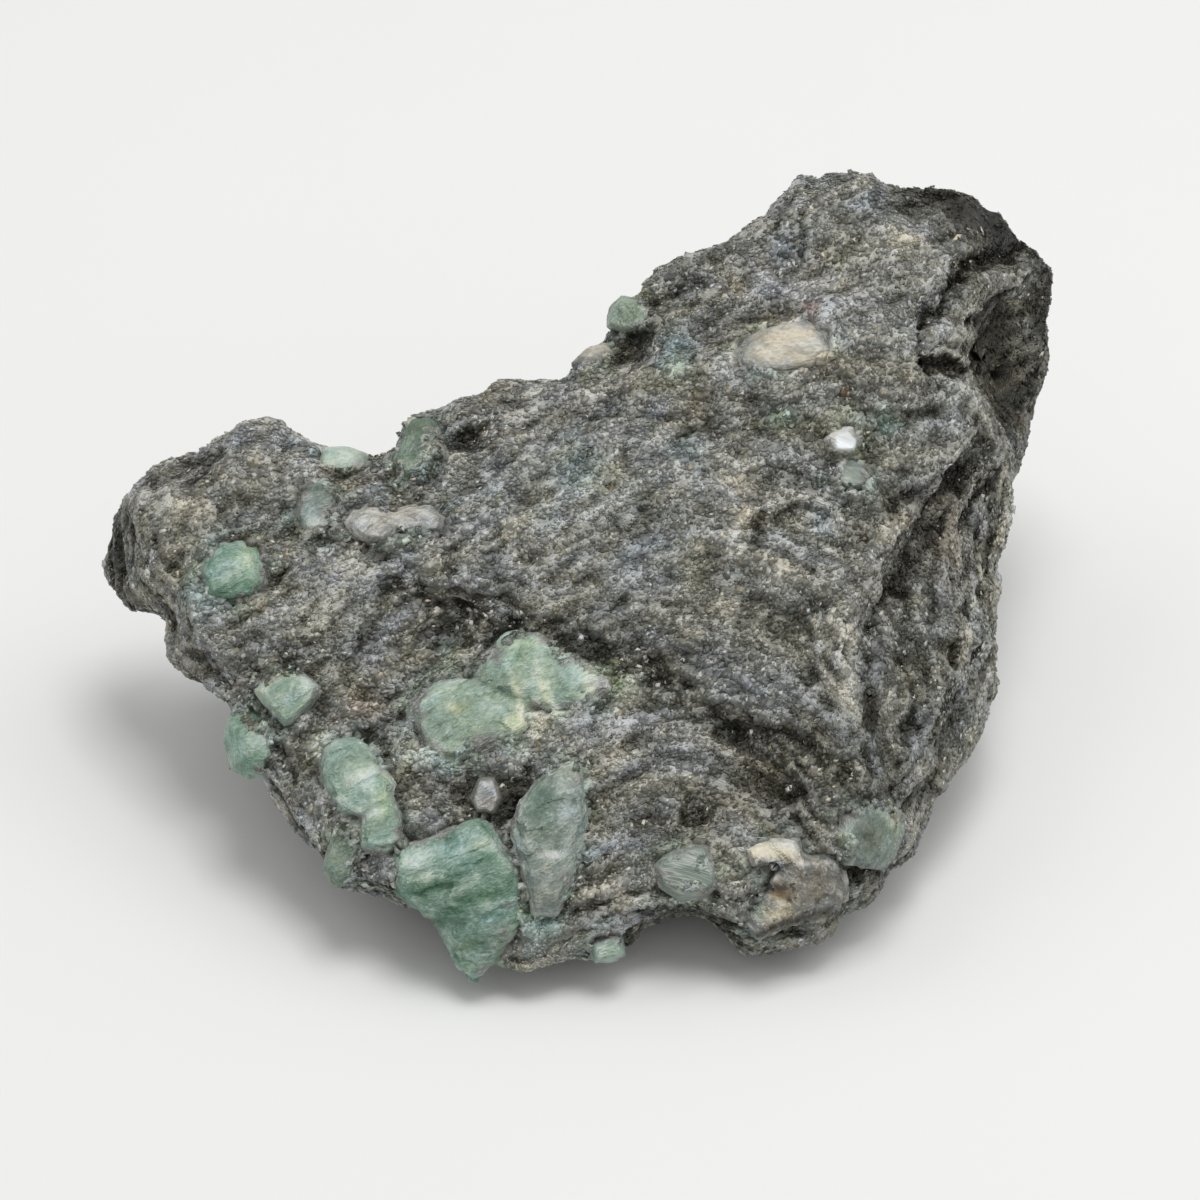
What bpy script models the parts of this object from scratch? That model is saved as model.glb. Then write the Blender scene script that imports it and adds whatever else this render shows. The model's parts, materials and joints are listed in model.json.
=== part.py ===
"""A rough emerald: green beryl crystals and quartz grains in a chunk of dark mica schist.

The chunk is laid out as it is looked at, from the front and from above the table. Places on it
are read in picture points, across and down, which one constant turns into millimetres, and a
height toward the viewer in millimetres. It is then turned into the world, +Z up, and set down.
"""
import math
from dataclasses import dataclass

import bmesh
import bpy
import numpy as np
from mathutils import Matrix, Vector, noise
from mathutils.bvhtree import BVHTree
from mathutils.geometry import delaunay_2d_cdt

MM = 0.001

# Driving dimensions, in millimetres
SPECIMEN_WIDTH = 80.0
CENTRE_HEIGHT = 19.7
SHEET_SPACING = 1.3
VOXEL = 0.8
POCKET_GAP = 0.33
SCHIST_TRIANGLES = 4700
LAYER_THICKNESS = 2.9

# The way the chunk is looked at
VIEW_ELEVATION = math.radians(40.0)
VIEW_DISTANCE = 400.0
FACE_LEAN = math.radians(25.0)
PICTURE_MIDDLE = 600.0
PICTURE_LEFT = 103.0
PICTURE_RIGHT = 1060.0
POINT = SPECIMEN_WIDTH / (PICTURE_RIGHT - PICTURE_LEFT)

RIGHT = np.array((1.0, 0.0, 0.0))
UP = np.array((0.0, math.sin(VIEW_ELEVATION), math.cos(VIEW_ELEVATION)))
TOWARD = np.array((0.0, -math.cos(VIEW_ELEVATION), math.sin(VIEW_ELEVATION)))
FOLIATION = math.sin(FACE_LEAN) * UP + math.cos(FACE_LEAN) * TOWARD

# The edge of the schist as seen, clockwise from the left tip
OUTLINE = (
    (102, 543), (105, 517), (115, 496), (136, 475), (166, 452), (185, 442), (209, 439),
    (228, 421), (255, 415), (283, 422), (301, 437), (320, 448), (345, 457), (372, 458),
    (399, 442), (408, 420), (448, 397), (462, 393), (500, 382), (540, 378), (565, 375),
    (577, 360), (605, 343), (611, 320), (620, 300), (650, 280), (675, 257), (720, 236),
    (755, 217), (774, 217), (788, 190), (806, 173), (830, 176), (861, 171), (890, 184),
    (940, 183), (977, 195), (1006, 212), (1023, 241), (1042, 247), (1061, 268), (1060, 310),
    (1050, 362), (1038, 408), (1028, 445), (1017, 490), (1008, 540), (1002, 590), (992, 625),
    (1005, 662), (999, 702), (976, 758), (950, 794), (933, 833), (911, 863), (878, 900),
    (845, 923), (805, 945), (770, 953), (750, 957), (732, 938), (705, 918), (680, 921),
    (650, 936), (627, 945), (615, 957), (580, 963), (520, 974), (490, 964), (462, 952),
    (440, 936), (416, 919), (394, 903), (380, 893), (350, 892), (335, 880), (320, 850),
    (300, 822), (283, 796), (270, 768), (247, 745), (232, 720), (220, 690), (195, 680),
    (169, 656), (154, 620), (130, 613), (111, 590), (103, 565),
)

# Height of the broad face above its leaning plane: across, down, millimetres
FACE_STATIONS = (
    (860, 215, 0.0), (780, 255, 0.0), (700, 290, -0.4), (820, 320, 0.6), (900, 270, 0.2),
    (750, 400, 0.9), (650, 420, 0.5), (600, 385, -0.2), (520, 430, 0.2), (560, 520, 0.9),
    (650, 520, 1.1), (720, 560, 0.9), (480, 530, 0.5), (700, 620, 0.8), (800, 470, 0.4),
    (610, 720, 0.2), (500, 700, 0.2), (430, 640, -0.8), (560, 770, -0.2), (640, 770, -0.6),
    (720, 780, -0.8), (790, 770, -1.4), (760, 840, 0.6), (690, 860, 0.3), (850, 830, -0.2),
    (550, 830, 0.6), (450, 850, 0.9), (360, 780, 0.3), (300, 700, -0.6), (300, 600, 0.0),
    (350, 560, 0.4), (230, 570, 0.2), (200, 640, -0.6), (150, 540, -0.6), (112, 540, -5.0),
    (158, 492, -0.4), (134, 575, -1.6), (120, 595, -5.0), (250, 450, 0.0), (185, 465, -1.6),
    (370, 475, -2.4), (330, 530, -0.6), (430, 470, -0.4), (850, 640, 1.2), (800, 640, 0.3),
    (895, 600, -1.6), (925, 530, -2.0), (950, 640, -3.4), (985, 560, -6.2), (985, 680, -6.0),
    (955, 750, -5.4), (925, 815, -4.8), (900, 700, -1.8), (870, 760, -1.6), (890, 860, -4.0),
    (930, 300, -0.4), (960, 250, -1.8), (990, 225, -4.8), (1035, 275, -4.2), (1008, 380, -6.0),
    (1050, 320, -6.6), (960, 340, -1.0), (960, 410, -1.2), (900, 420, 0.2), (1005, 455, -5.6),
    (480, 950, -3.2), (600, 940, -2.6), (560, 900, -0.2), (400, 880, -0.4), (680, 905, -1.8),
    (780, 935, -3.6), (840, 905, -3.8), (750, 900, -0.6),
)

# Steps of the face: the line along which it breaks, the rise on its left side when it is
# followed, and how far back the raised side runs
LEDGES = (
    (((385, 560), (440, 590), (480, 598), (530, 618), (600, 650), (650, 656), (700, 690),
      (735, 722), (765, 762), (800, 800)), 1.9, 11.0),
    (((872, 622), (905, 560), (940, 498), (985, 445)), 1.8, 7.0),
    (((835, 790), (880, 800), (918, 792)), 1.0, 5.0),
    (((905, 352), (945, 356), (990, 345)), 1.5, 4.0),
    (((645, 318), (655, 345), (640, 372)), 0.9, 5.0),
    (((300, 500), (340, 512), (372, 500)), 0.8, 5.0),
    (((180, 545), (230, 540), (285, 562)), 0.9, 4.0),
    (((790, 712), (835, 745), (905, 752)), 1.0, 4.5),
    (((800, 486), (845, 506), (890, 498)), 0.8, 4.0),
    (((395, 830), (440, 822), (500, 816)), 0.7, 4.0),
    (((560, 560), (640, 590), (700, 575), (760, 600)), 0.6, 8.0),
    (((700, 395), (780, 400), (860, 385), (940, 395)), 0.6, 6.0),
    (((1002, 425), (985, 385), (974, 345), (992, 308)), 2.2, 5.0),
    (((950, 705), (946, 640), (958, 560), (982, 470)), 0.9, 2.5),
    (((984, 690), (976, 620), (986, 540), (1002, 465)), 1.1, 2.0),
    (((905, 838), (925, 790), (940, 745), (968, 712)), 1.2, 3.0),
    (((955, 262), (968, 238), (975, 212)), 1.4, 6.0),
    (((1040, 330), (1020, 300), (1008, 262)), -1.2, 3.0),
)

# Low ridges of the face: the line of the crest, its rise and its half width
RIDGES = (
    (((738, 468), (736, 520), (748, 556), (790, 582), (842, 574), (882, 540)), 0.7, 1.2),
    (((842, 610), (850, 660), (846, 720)), 1.3, 1.4),
    (((965, 430), (952, 480), (948, 560)), 0.9, 1.3),
    (((948, 560), (940, 620), (938, 700)), 0.8, 1.4),
    (((620, 690), (660, 730), (690, 770)), 0.6, 1.6),
)

# Lumps and pits: across, down, radius and height in millimetres
LUMPS = (
    (205, 640, 3.6, 1.3), (255, 455, 3.6, 1.0), (168, 492, 2.4, 1.1), (312, 590, 4.0, 0.8),
    (300, 720, 3.0, 0.5), (640, 800, 3.0, 0.7), (905, 395, 3.0, 0.9), (700, 720, 3.2, 0.6),
    (880, 690, 2.6, 0.7), (760, 690, 2.8, 0.6), (1042, 268, 2.2, 1.2), (975, 660, 2.4, 0.9),
    (490, 798, 3.2, -2.2), (200, 470, 2.0, -1.4), (255, 546, 2.0, -1.4), (470, 437, 1.8, -1.3),
    (632, 345, 2.0, -1.2), (1006, 350, 3.6, -3.2), (1006, 400, 2.8, -3.0), (452, 612, 3.6, -1.2),
    (500, 600, 1.8, -0.9), (808, 525, 3.2, -0.7), (775, 765, 3.4, -1.2), (965, 540, 2.0, -1.2),
    (925, 730, 2.4, -1.1), (690, 822, 2.6, -0.8), (800, 655, 2.2, -0.8), (865, 470, 2.0, -0.8),
    (405, 650, 2.8, -0.8), (238, 700, 2.0, -1.0), (900, 245, 3.0, 0.6), (740, 440, 2.4, 0.5),
    (585, 470, 3.2, 0.6), (925, 340, 2.0, 1.0),
)

# The hidden back, from above: across and back of the middle
BACK_EDGE = (
    (-41.0, 15.0), (-34.0, 18.6), (-28.0, 20.5), (-20.0, 20.0), (-12.0, 22.0), (-2.0, 26.5),
    (4.0, 31.0), (12.0, 36.5), (18.0, 39.5), (26.0, 41.5), (32.0, 41.0), (38.0, 36.0),
)
BACK_SLOPE = 0.12
BACK_HEIGHT = 22.0
# Breaks across the hidden sides: the way each faces, and a point on it
BREAKS = (
    ((0.10, 0.75, -0.66), (14.0, 32.0, 6.0)),
    ((0.72, 0.68, -0.15), (41.5, 34.5, 27.0)),
    ((-0.45, 0.87, -0.20), (2.0, 29.5, 12.0)),
    ((-0.30, 0.80, -0.55), (-22.0, 17.5, 9.0)),
    ((0.55, 0.20, -0.80), (36.0, 4.0, 4.0)),
    ((-0.62, 0.10, -0.78), (-36.0, 0.0, 5.0)),
)
# Height of the underside over the table: across, height
UNDERSIDE = (
    (-41.0, 11.0), (-30.0, 7.5), (-20.0, 3.4), (-12.0, 0.6), (-6.0, -0.5), (10.0, 0.2),
    (22.0, -0.5), (30.0, 1.6), (39.0, 7.0),
)
SIDE_UNDERCUT = 0.92
LEAST_EDGE = 1.6
EDGE_GROWTH = 0.6


@dataclass(frozen=True)
class Grain:
    """A crystal or grain that shows in the face: its outline as seen, and its real sizes.

    The crest holds further corners of its top, across, down and millimetres over that top.
    A grain at the lower edge reaches level into the rock, any other straight in.
    """

    outline: tuple
    rise: float
    depth: float
    bevel: float = 0.7
    crest: tuple = ()
    taper: float = 0.72
    level: bool = False


# The crystals and grains of the broad face; those of one name have grown together
GRAINS = {
    "emerald_large": (
        Grain(((397, 850), (425, 838), (455, 826), (480, 820), (498, 838), (507, 862),
               (522, 880), (524, 905), (470, 925), (425, 915), (398, 892)),
              0.5, 4.2, 0.6, ((402, 868, 0.5), (455, 868, 0.9), (508, 868, 0.5))),
        Grain(((424, 905), (455, 895), (519, 898), (517, 932), (494, 962), (475, 981),
               (462, 968), (447, 940)), 0.5, 3.4, 0.5, ((480, 925, 0.6),), 0.7, True),
    ),
    "emerald_bright": (
        Grain(((322, 750), (335, 741), (358, 740), (373, 752), (383, 770), (394, 787),
               (392, 802), (380, 813), (362, 820), (345, 817), (330, 798), (319, 772)),
              0.9, 4.0, 0.8, ((350, 775, 0.5), (372, 790, 0.4))),
        Grain(((372, 806), (392, 798), (404, 822), (402, 842), (386, 853), (364, 848),
               (359, 832), (362, 816)), 0.5, 3.2, 0.6),
    ),
    "emerald_edge": (
        Grain(((338, 830), (349, 834), (357, 850), (353, 864), (350, 880), (337, 886),
               (324, 870), (330, 848)), 0.5, 2.2, 0.5),
    ),
    "emerald_arm": (
        Grain(((198, 572), (206, 557), (222, 544), (240, 543), (256, 549), (263, 566),
               (265, 584), (253, 599), (230, 603), (208, 598)), 0.6, 4.0, 0.8,
              ((236, 562, 0.4),)),
    ),
    "emerald_pale": (
        Grain(((256, 690), (268, 677), (285, 673), (304, 676), (319, 688), (315, 698),
               (301, 709), (294, 723), (285, 726), (276, 716), (266, 704)), 0.7, 2.8, 0.6,
              ((298, 688, 0.7),), 0.66),
    ),
    "emerald_corner": (
        Grain(((226, 740), (229, 722), (248, 720), (268, 728), (275, 744), (272, 762),
               (264, 775), (248, 776), (233, 767)), 0.5, 2.2, 0.7, ((250, 745, 0.6),), 0.7,
              True),
    ),
    "emerald_middle": (
        Grain(((503, 652), (509, 634), (535, 629), (558, 643), (574, 662), (602, 670),
               (607, 688), (590, 705), (560, 714), (528, 706), (500, 697), (476, 682),
               (478, 668)), 0.5, 3.6, 0.8, ((524, 648, 0.3), (570, 690, 0.4))),
        Grain(((408, 712), (420, 690), (440, 674), (464, 672), (490, 688), (532, 704),
               (530, 726), (512, 742), (480, 754), (448, 761), (426, 748), (414, 728)),
              0.4, 3.4, 0.8, ((450, 708, 0.5),)),
    ),
    "emerald_round": (
        Grain(((512, 826), (521, 802), (540, 780), (562, 765), (580, 776), (587, 804),
               (588, 842), (568, 890), (556, 914), (536, 914), (531, 878), (515, 852)),
              0.7, 4.0, 1.0, ((552, 805, 0.6), (555, 850, 0.5))),
    ),
    "emerald_streaky": (
        Grain(((654, 868), (666, 856), (690, 846), (707, 848), (717, 864), (716, 886),
               (700, 898), (680, 899), (661, 886)), 0.5, 3.2, 0.6),
    ),
    "emerald_right": (
        Grain(((838, 836), (846, 818), (866, 807), (890, 804), (902, 816), (901, 836),
               (894, 854), (881, 867), (862, 867), (846, 854)), 0.8, 3.4, 1.0,
              ((872, 832, 0.5),)),
    ),
    "emerald_notch": (
        Grain(((394, 464), (399, 444), (405, 428), (413, 418), (432, 421), (439, 434),
               (432, 452), (421, 471), (405, 478)), 0.5, 3.4, 0.6, ((416, 440, 0.4),), 0.74),
    ),
    "emerald_top": (
        Grain(((608, 326), (611, 309), (622, 297), (641, 303), (651, 315), (646, 327),
               (628, 332)), 0.5, 2.8, 0.5),
    ),
    "emerald_small": (
        Grain(((833, 479), (838, 466), (854, 460), (868, 466), (874, 478), (863, 489),
               (845, 490)), 0.5, 2.6, 0.5),
    ),
    "emerald_bars": (
        Grain(((298, 505), (301, 486), (318, 479), (337, 488), (334, 512), (329, 530),
               (308, 534), (298, 521)), 0.5, 3.0, 0.6),
    ),
    "emerald_behind": (
        Grain(((318, 466), (326, 449), (349, 449), (367, 456), (366, 466), (340, 472)),
              0.5, 1.9, 0.4),
    ),
    "emerald_foot": (
        Grain(((592, 946), (605, 936), (621, 939), (623, 954), (609, 961), (596, 960)),
              0.4, 2.2, 0.4, (), 0.74, True),
    ),
    "quartz_block": (
        Grain(((748, 851), (767, 842), (798, 842), (800, 858), (785, 864), (752, 864)),
              0.9, 2.6, 0.4),
        Grain(((783, 857), (836, 857), (845, 880), (846, 899), (802, 921), (757, 937),
               (748, 925), (764, 888)), 0.6, 3.4, 0.5, ((800, 868, 0.5), (790, 902, 0.4))),
    ),
    "quartz_pebble": (
        Grain(((345, 522), (352, 511), (373, 507), (393, 513), (403, 522), (399, 536),
               (386, 546), (368, 543), (352, 536)), 1.1, 2.8, 0.9),
        Grain(((394, 515), (408, 508), (430, 507), (444, 519), (440, 530), (424, 533),
               (396, 530)), 0.6, 2.2, 0.5),
    ),
    "quartz_wedge": (
        Grain(((471, 800), (480, 779), (493, 779), (500, 799), (493, 813), (478, 812)),
              1.3, 2.4, 0.4),
    ),
    "quartz_grain": (
        Grain(((825, 441), (834, 430), (850, 428), (862, 440), (858, 452), (841, 456),
               (829, 451)), 0.8, 2.4, 0.6),
    ),
    "feldspar_patch": (
        Grain(((737, 352), (750, 338), (775, 325), (801, 319), (826, 333), (828, 350),
               (810, 365), (780, 373), (750, 373), (738, 364)), 0.3, 2.4, 0.6),
    ),
    "feldspar_edge": (
        Grain(((574, 364), (588, 350), (605, 345), (613, 356), (604, 369), (584, 374)),
              0.4, 2.6, 0.5),
    ),
}


@dataclass(frozen=True)
class HiddenGrain:
    """A crystal of the hidden sides: where it is looked for, which way out, and its sizes."""

    place: tuple
    outward: tuple
    length: float
    width: float
    turn: float
    rise: float
    depth: float


HIDDEN_GRAINS = {
    "emerald_rear_high": HiddenGrain(
        (10.0, 18.0, 22.0), (-0.25, 1.0, 0.1), 9.0, 6.5, 20.0, 0.6, 4.2),
    "emerald_rear_low": HiddenGrain(
        (20.0, 18.0, 9.0), (0.1, 1.0, -0.1), 7.5, 5.0, 70.0, 0.6, 3.8),
    "emerald_rear_arm": HiddenGrain(
        (-24.0, 6.0, 14.0), (-0.2, 1.0, -0.1), 6.0, 4.2, 35.0, 0.5, 3.0),
    "emerald_side": HiddenGrain(
        (18.0, 8.0, 10.0), (1.0, 0.1, 0.0), 7.0, 4.6, 10.0, 0.5, 3.6),
    "emerald_under": HiddenGrain(
        (-22.0, 5.0, 12.0), (-0.35, 0.1, -1.0), 6.5, 5.0, 50.0, 0.4, 2.6),
    "quartz_rear": HiddenGrain(
        (28.0, 16.0, 22.0), (0.35, 1.0, 0.0), 8.0, 4.0, 120.0, 0.5, 3.0),
}


def as_seen(across, down, toward):
    """Millimetres right, up the view and toward the viewer of picture places."""
    nearness = 1.0 - toward / VIEW_DISTANCE
    right = (across - PICTURE_MIDDLE) * POINT * nearness
    up = (PICTURE_MIDDLE - down) * POINT * nearness
    return right, up, toward


def in_world(right, up, toward):
    """World points, in millimetres over the table, of places laid out as seen."""
    right = np.atleast_1d(np.asarray(right, float))
    up = np.atleast_1d(np.asarray(up, float))
    toward = np.atleast_1d(np.asarray(toward, float))
    points = right[:, None] * RIGHT + up[:, None] * UP + toward[:, None] * TOWARD
    points[:, 2] += CENTRE_HEIGHT
    return points


def leaning_plane(down):
    """Height toward the viewer of the plane that the broad face leans in."""
    return math.tan(FACE_LEAN) * (down - PICTURE_MIDDLE) * POINT


def ease(value):
    """Smooth step from 0 to 1."""
    value = np.clip(value, 0.0, 1.0)
    return value * value * (3.0 - 2.0 * value)


def thin_plate(stations):
    """A smooth surface through stations of across, down and height, as a function."""
    table = np.array(stations, float)
    places = table[:, :2] * POINT
    count = len(places)

    def kernel(squared):
        return 0.5 * squared * np.log(squared + 1e-6)

    squared = ((places[:, None] - places[None]) ** 2).sum(2)
    matrix = np.zeros((count + 3, count + 3))
    matrix[:count, :count] = kernel(squared) + 4.0 * np.eye(count)
    matrix[:count, count] = 1.0
    matrix[:count, count + 1:] = places
    matrix[count:, :count] = matrix[:count, count:].T
    known = np.concatenate((table[:, 2], np.zeros(3)))
    weights = np.linalg.solve(matrix, known)

    def height(across, down):
        spots = np.stack((across, down), 1) * POINT
        squared = ((spots[:, None] - places[None]) ** 2).sum(2)
        return kernel(squared) @ weights[:count] + weights[count] + spots @ weights[count + 1:]

    return height


def along_line(across, down, line):
    """Signed distance in millimetres to a line of points, left of its run positive."""
    line = np.array(line, float) * POINT
    spots = np.stack((across, down), 1) * POINT
    nearest = np.full(len(spots), 1e9)
    signed = np.full(len(spots), 1e9)
    for start, end in zip(line[:-1], line[1:]):
        run = end - start
        share = np.clip(((spots - start) @ run) / (run @ run), 0.0, 1.0)
        offset = spots - (start + share[:, None] * run)
        distance = np.hypot(offset[:, 0], offset[:, 1])
        side = np.sign(run[1] * offset[:, 0] - run[0] * offset[:, 1])
        closer = distance < nearest
        nearest = np.where(closer, distance, nearest)
        signed = np.where(closer, distance * side, signed)
    return signed


def roughness(points, size, seed):
    """Fractal noise, about -1 to 1, at points in millimetres, with features of a size."""
    shift = Vector((seed * 17.3, seed * 5.1, seed * 11.7))
    values = [noise.fractal(Vector(point) / size + shift, 1.0, 2.1, 3) for point in points]
    return np.array(values)


def wander(points, size, seed):
    """Plain smooth noise at points in millimetres, with features of a size."""
    shift = Vector((seed * 7.9, seed * 13.3, seed * 3.7))
    return np.array([noise.noise(Vector(point) / size + shift) for point in points])


def edge_distance(across, down):
    """Distance in millimetres from places to the outline."""
    return np.abs(along_line(across, down, OUTLINE + OUTLINE[:1]))


def face_height(across, down):
    """Height toward the viewer of the split face, with its ledges, ridges, lumps and pits."""
    flat = np.stack((across, down, np.zeros(len(across))), 1) * POINT
    height = leaning_plane(down) + thin_plate(FACE_STATIONS)(across, down)
    for index, (line, rise, run) in enumerate(LEDGES):
        signed = along_line(across, down, line) + 0.9 * wander(flat, 3.5, index + 1)
        height += rise * ease(signed / 0.9 + 0.5) * np.exp(-np.maximum(signed, 0.0) / run)
    for line, rise, width in RIDGES:
        signed = along_line(across, down, line)
        height += rise * np.exp(-(signed / width) ** 2)
    for x, y, radius, rise in LUMPS:
        squared = ((across - x) ** 2 + (down - y) ** 2) * POINT ** 2
        height += rise * np.exp(-squared / (0.6 * radius * radius))
    return height


def rounding(across, down):
    """How far the face falls away toward its edge, more at the left tip and the right."""
    radius = 2.4 + 2.2 * ease((240.0 - across) / 140.0) + 1.6 * ease((across - 880.0) / 120.0)
    inward = np.clip(1.0 - edge_distance(across, down) / radius, 0.0, 1.0)
    return radius * (1.0 - np.sqrt(1.0 - inward ** 2))


def hidden_height(across, down, face):
    """Height toward the viewer of the hidden side: underside, back wall and breaks."""
    right, up, _ = as_seen(across, down, face)
    sine = math.sin(VIEW_ELEVATION)
    cosine = math.cos(VIEW_ELEVATION)
    lift = np.interp(right, *np.array(UNDERSIDE).T)
    edge = np.interp(right, *np.array(BACK_EDGE).T) - BACK_SLOPE * BACK_HEIGHT
    sheets = [(lift - CENTRE_HEIGHT - up * cosine) / sine,
              (up * (sine - BACK_SLOPE * cosine) - edge) / (cosine + BACK_SLOPE * sine)]
    for facing, point in BREAKS:
        facing = np.array(facing) / np.linalg.norm(facing)
        reach = facing @ (np.array(point) - (0.0, 0.0, CENTRE_HEIGHT))
        sheets.append((reach - right * facing[0] - up * (facing @ UP)) / (facing @ TOWARD))
    softness = 0.9
    blended = softness * np.logaddexp.reduce(np.array(sheets) / softness, axis=0)
    return np.minimum(blended, face - LEAST_EDGE)


def even_spots():
    """Picture places in even rows all over the outline, a little in from its edge."""
    step = SHEET_SPACING / POINT
    spots = []
    for row in range(int(1200.0 / (step * 0.866))):
        for column in range(int(1200.0 / step)):
            spots.append(((column + 0.5 * (row % 2)) * step, row * step * 0.866))
    spots = np.array(spots)
    line = np.array(OUTLINE, float)
    inside = np.zeros(len(spots), bool)
    for start, end in zip(line, np.roll(line, -1, 0)):
        crosses = (start[1] > spots[:, 1]) != (end[1] > spots[:, 1])
        slope = (end[0] - start[0]) / (end[1] - start[1] + 1e-9)
        inside ^= crosses & (spots[:, 0] < start[0] + slope * (spots[:, 1] - start[1]))
    spots = spots[inside]
    return spots[edge_distance(spots[:, 0], spots[:, 1]) > 0.55 * SHEET_SPACING]


def fine_outline():
    """The outline with points no further apart than the sheets' spacing."""
    fine = []
    line = np.array(OUTLINE, float)
    for start, end in zip(line, np.roll(line, -1, 0)):
        count = max(1, round(float(np.hypot(*(end - start))) * POINT / SHEET_SPACING))
        fine += [start + (end - start) * step / count for step in range(count)]
    return np.array(fine)


def new_object(name, mesh):
    """Link a mesh to the scene as an object."""
    piece = bpy.data.objects.new(name, mesh)
    bpy.context.scene.collection.objects.link(piece)
    return piece


def mesh_from(name, points, faces):
    """A mesh of points in millimetres."""
    mesh = bpy.data.meshes.new(name)
    mesh.from_pydata([tuple(point) for point in np.asarray(points) * MM], [], faces)
    mesh.validate()
    return mesh


def settle(piece):
    """Put an object's modified shape in its mesh."""
    evaluated = piece.evaluated_get(bpy.context.evaluated_depsgraph_get())
    mesh = bpy.data.meshes.new_from_object(evaluated)
    piece.modifiers.clear()
    old = piece.data
    piece.data = mesh
    bpy.data.meshes.remove(old)


def grown(rim):
    """The outline's points moved outward, to make up for what the weathering takes."""
    run = np.roll(rim, -1, 0) - np.roll(rim, 1, 0)
    run /= np.hypot(run[:, 0], run[:, 1])[:, None]
    outward = np.stack((run[:, 1], -run[:, 0]), 1)
    return rim + outward * EDGE_GROWTH / POINT


def schist_block():
    """The chunk as two sheets over one outline, joined by a wall, then evenly meshed."""
    rim = fine_outline()
    count = len(rim)
    spots = np.concatenate((grown(rim), even_spots()))
    border = [(index, (index + 1) % count) for index in range(count)]
    flat = [Vector(spot) for spot in spots]
    _, _, triangles, originals, _, _ = delaunay_2d_cdt(flat, border, [], 1, 1e-5)
    order = [sources[0] for sources in originals]
    spots = spots[order]
    place = {source: index for index, source in enumerate(order)}
    across, down = spots.T
    face = face_height(across, down) - rounding(across, down)
    hidden = hidden_height(across, down, face)
    middle = spots.mean(0)
    inset = middle + (spots - middle) * SIDE_UNDERCUT
    front = in_world(*as_seen(across, down, face))
    back = in_world(*as_seen(inset[:, 0], inset[:, 1], hidden))
    total = len(spots)
    faces = []
    for a, b, c in triangles:
        faces.append((a, b, c))
        faces.append((a + total, c + total, b + total))
    for start, end in border:
        a, b = place[start], place[end]
        faces.append((a, b, b + total, a + total))
    mesh = mesh_from("schist", np.concatenate((front, back)), faces)
    shape = bmesh.new()
    shape.from_mesh(mesh)
    bmesh.ops.recalc_face_normals(shape, faces=shape.faces)
    shape.to_mesh(mesh)
    shape.free()
    piece = new_object("schist", mesh)
    mesh_evenly(piece)
    return piece


def mesh_evenly(piece):
    """Give an object one skin of small even faces."""
    even = piece.modifiers.new("even", "REMESH")
    even.mode = "VOXEL"
    even.voxel_size = VOXEL * MM
    settle(piece)


def weather(piece):
    """Break the surface along the rock's layers, chip its hidden sides and roughen it all."""
    mesh = piece.data
    count = len(mesh.vertices)
    points = np.empty(count * 3)
    mesh.vertices.foreach_get("co", points)
    points = points.reshape(-1, 3) / MM
    normals = np.empty(count * 3)
    mesh.vertices.foreach_get("normal", normals)
    normals = normals.reshape(-1, 3)
    facing = normals @ FOLIATION
    layer = points @ FOLIATION + 3.0 * wander(points, 24.0, 3) + 0.8 * wander(points, 7.0, 4)
    step = layer / LAYER_THICKNESS
    step += 0.4 * np.sin(2.1 * step)
    whole = np.floor(step)
    within = step - whole
    tread = whole + ease((within - 0.5) / 0.3 + 0.5)
    terrace = (tread - step) * LAYER_THICKNESS
    unseen = ease((-0.2 - normals @ TOWARD) / 0.35)
    off_table = ease((points[:, 2] - 0.5) / 4.0)
    on_face = ease((facing - 0.75) / 0.2)
    below = ease((-0.6 - facing) / 0.2) * unseen
    below *= 0.3 + 0.7 * ease(0.5 + 2.0 * wander(points, 15.0, 9))
    points += (terrace * (0.28 * on_face + below))[:, None] * FOLIATION
    swell = np.stack((whole * 3.7, whole * 1.9, whole * 5.3), 1)
    reach = wander(points * 0.09 + swell, 1.0, 7) + 0.5 * wander(points * 0.3 + swell, 1.0, 8)
    blend = ease(np.minimum(within, 1.0 - within) / 0.16)
    on_side = ease((0.8 - np.abs(facing)) / 0.3)
    sideways = normals - facing[:, None] * FOLIATION
    length = np.linalg.norm(sideways, axis=1)[:, None]
    sideways = sideways / np.maximum(length, 1e-6)
    push = np.clip(2.0 * reach - 0.5, -1.5, 0.3) * (1.0 + 0.9 * unseen)
    points += (push * blend * on_side)[:, None] * sideways
    chips = wander(points, 19.0, 11) + 0.4 * wander(points, 8.0, 12)
    chips = np.round(chips / 0.32) * 0.32 * 0.6 + chips * 0.4
    points += (4.2 * chips * unseen * off_table)[:, None] * normals
    bumps = 0.65 * roughness(points, 7.0, 1) + 0.45 * roughness(points, 3.0, 2)
    points += (bumps * (0.5 + 0.5 * np.abs(facing)))[:, None] * normals
    mesh.vertices.foreach_set("co", (points * MM).ravel())
    mesh.update()
    mesh_evenly(piece)


def thin_out(piece, triangles):
    """Keep about this many triangles, most where the surface bends."""
    shape = bmesh.new()
    shape.from_mesh(piece.data)
    bmesh.ops.triangulate(shape, faces=shape.faces)
    total = len(shape.faces)
    shape.to_mesh(piece.data)
    shape.free()
    fewer = piece.modifiers.new("fewer", "DECIMATE")
    fewer.ratio = triangles / total
    settle(piece)


def surface_of(piece):
    """A tree that finds where lines meet an object."""
    shape = bmesh.new()
    shape.from_mesh(piece.data)
    tree = BVHTree.FromBMesh(shape)
    shape.free()
    return tree


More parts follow.
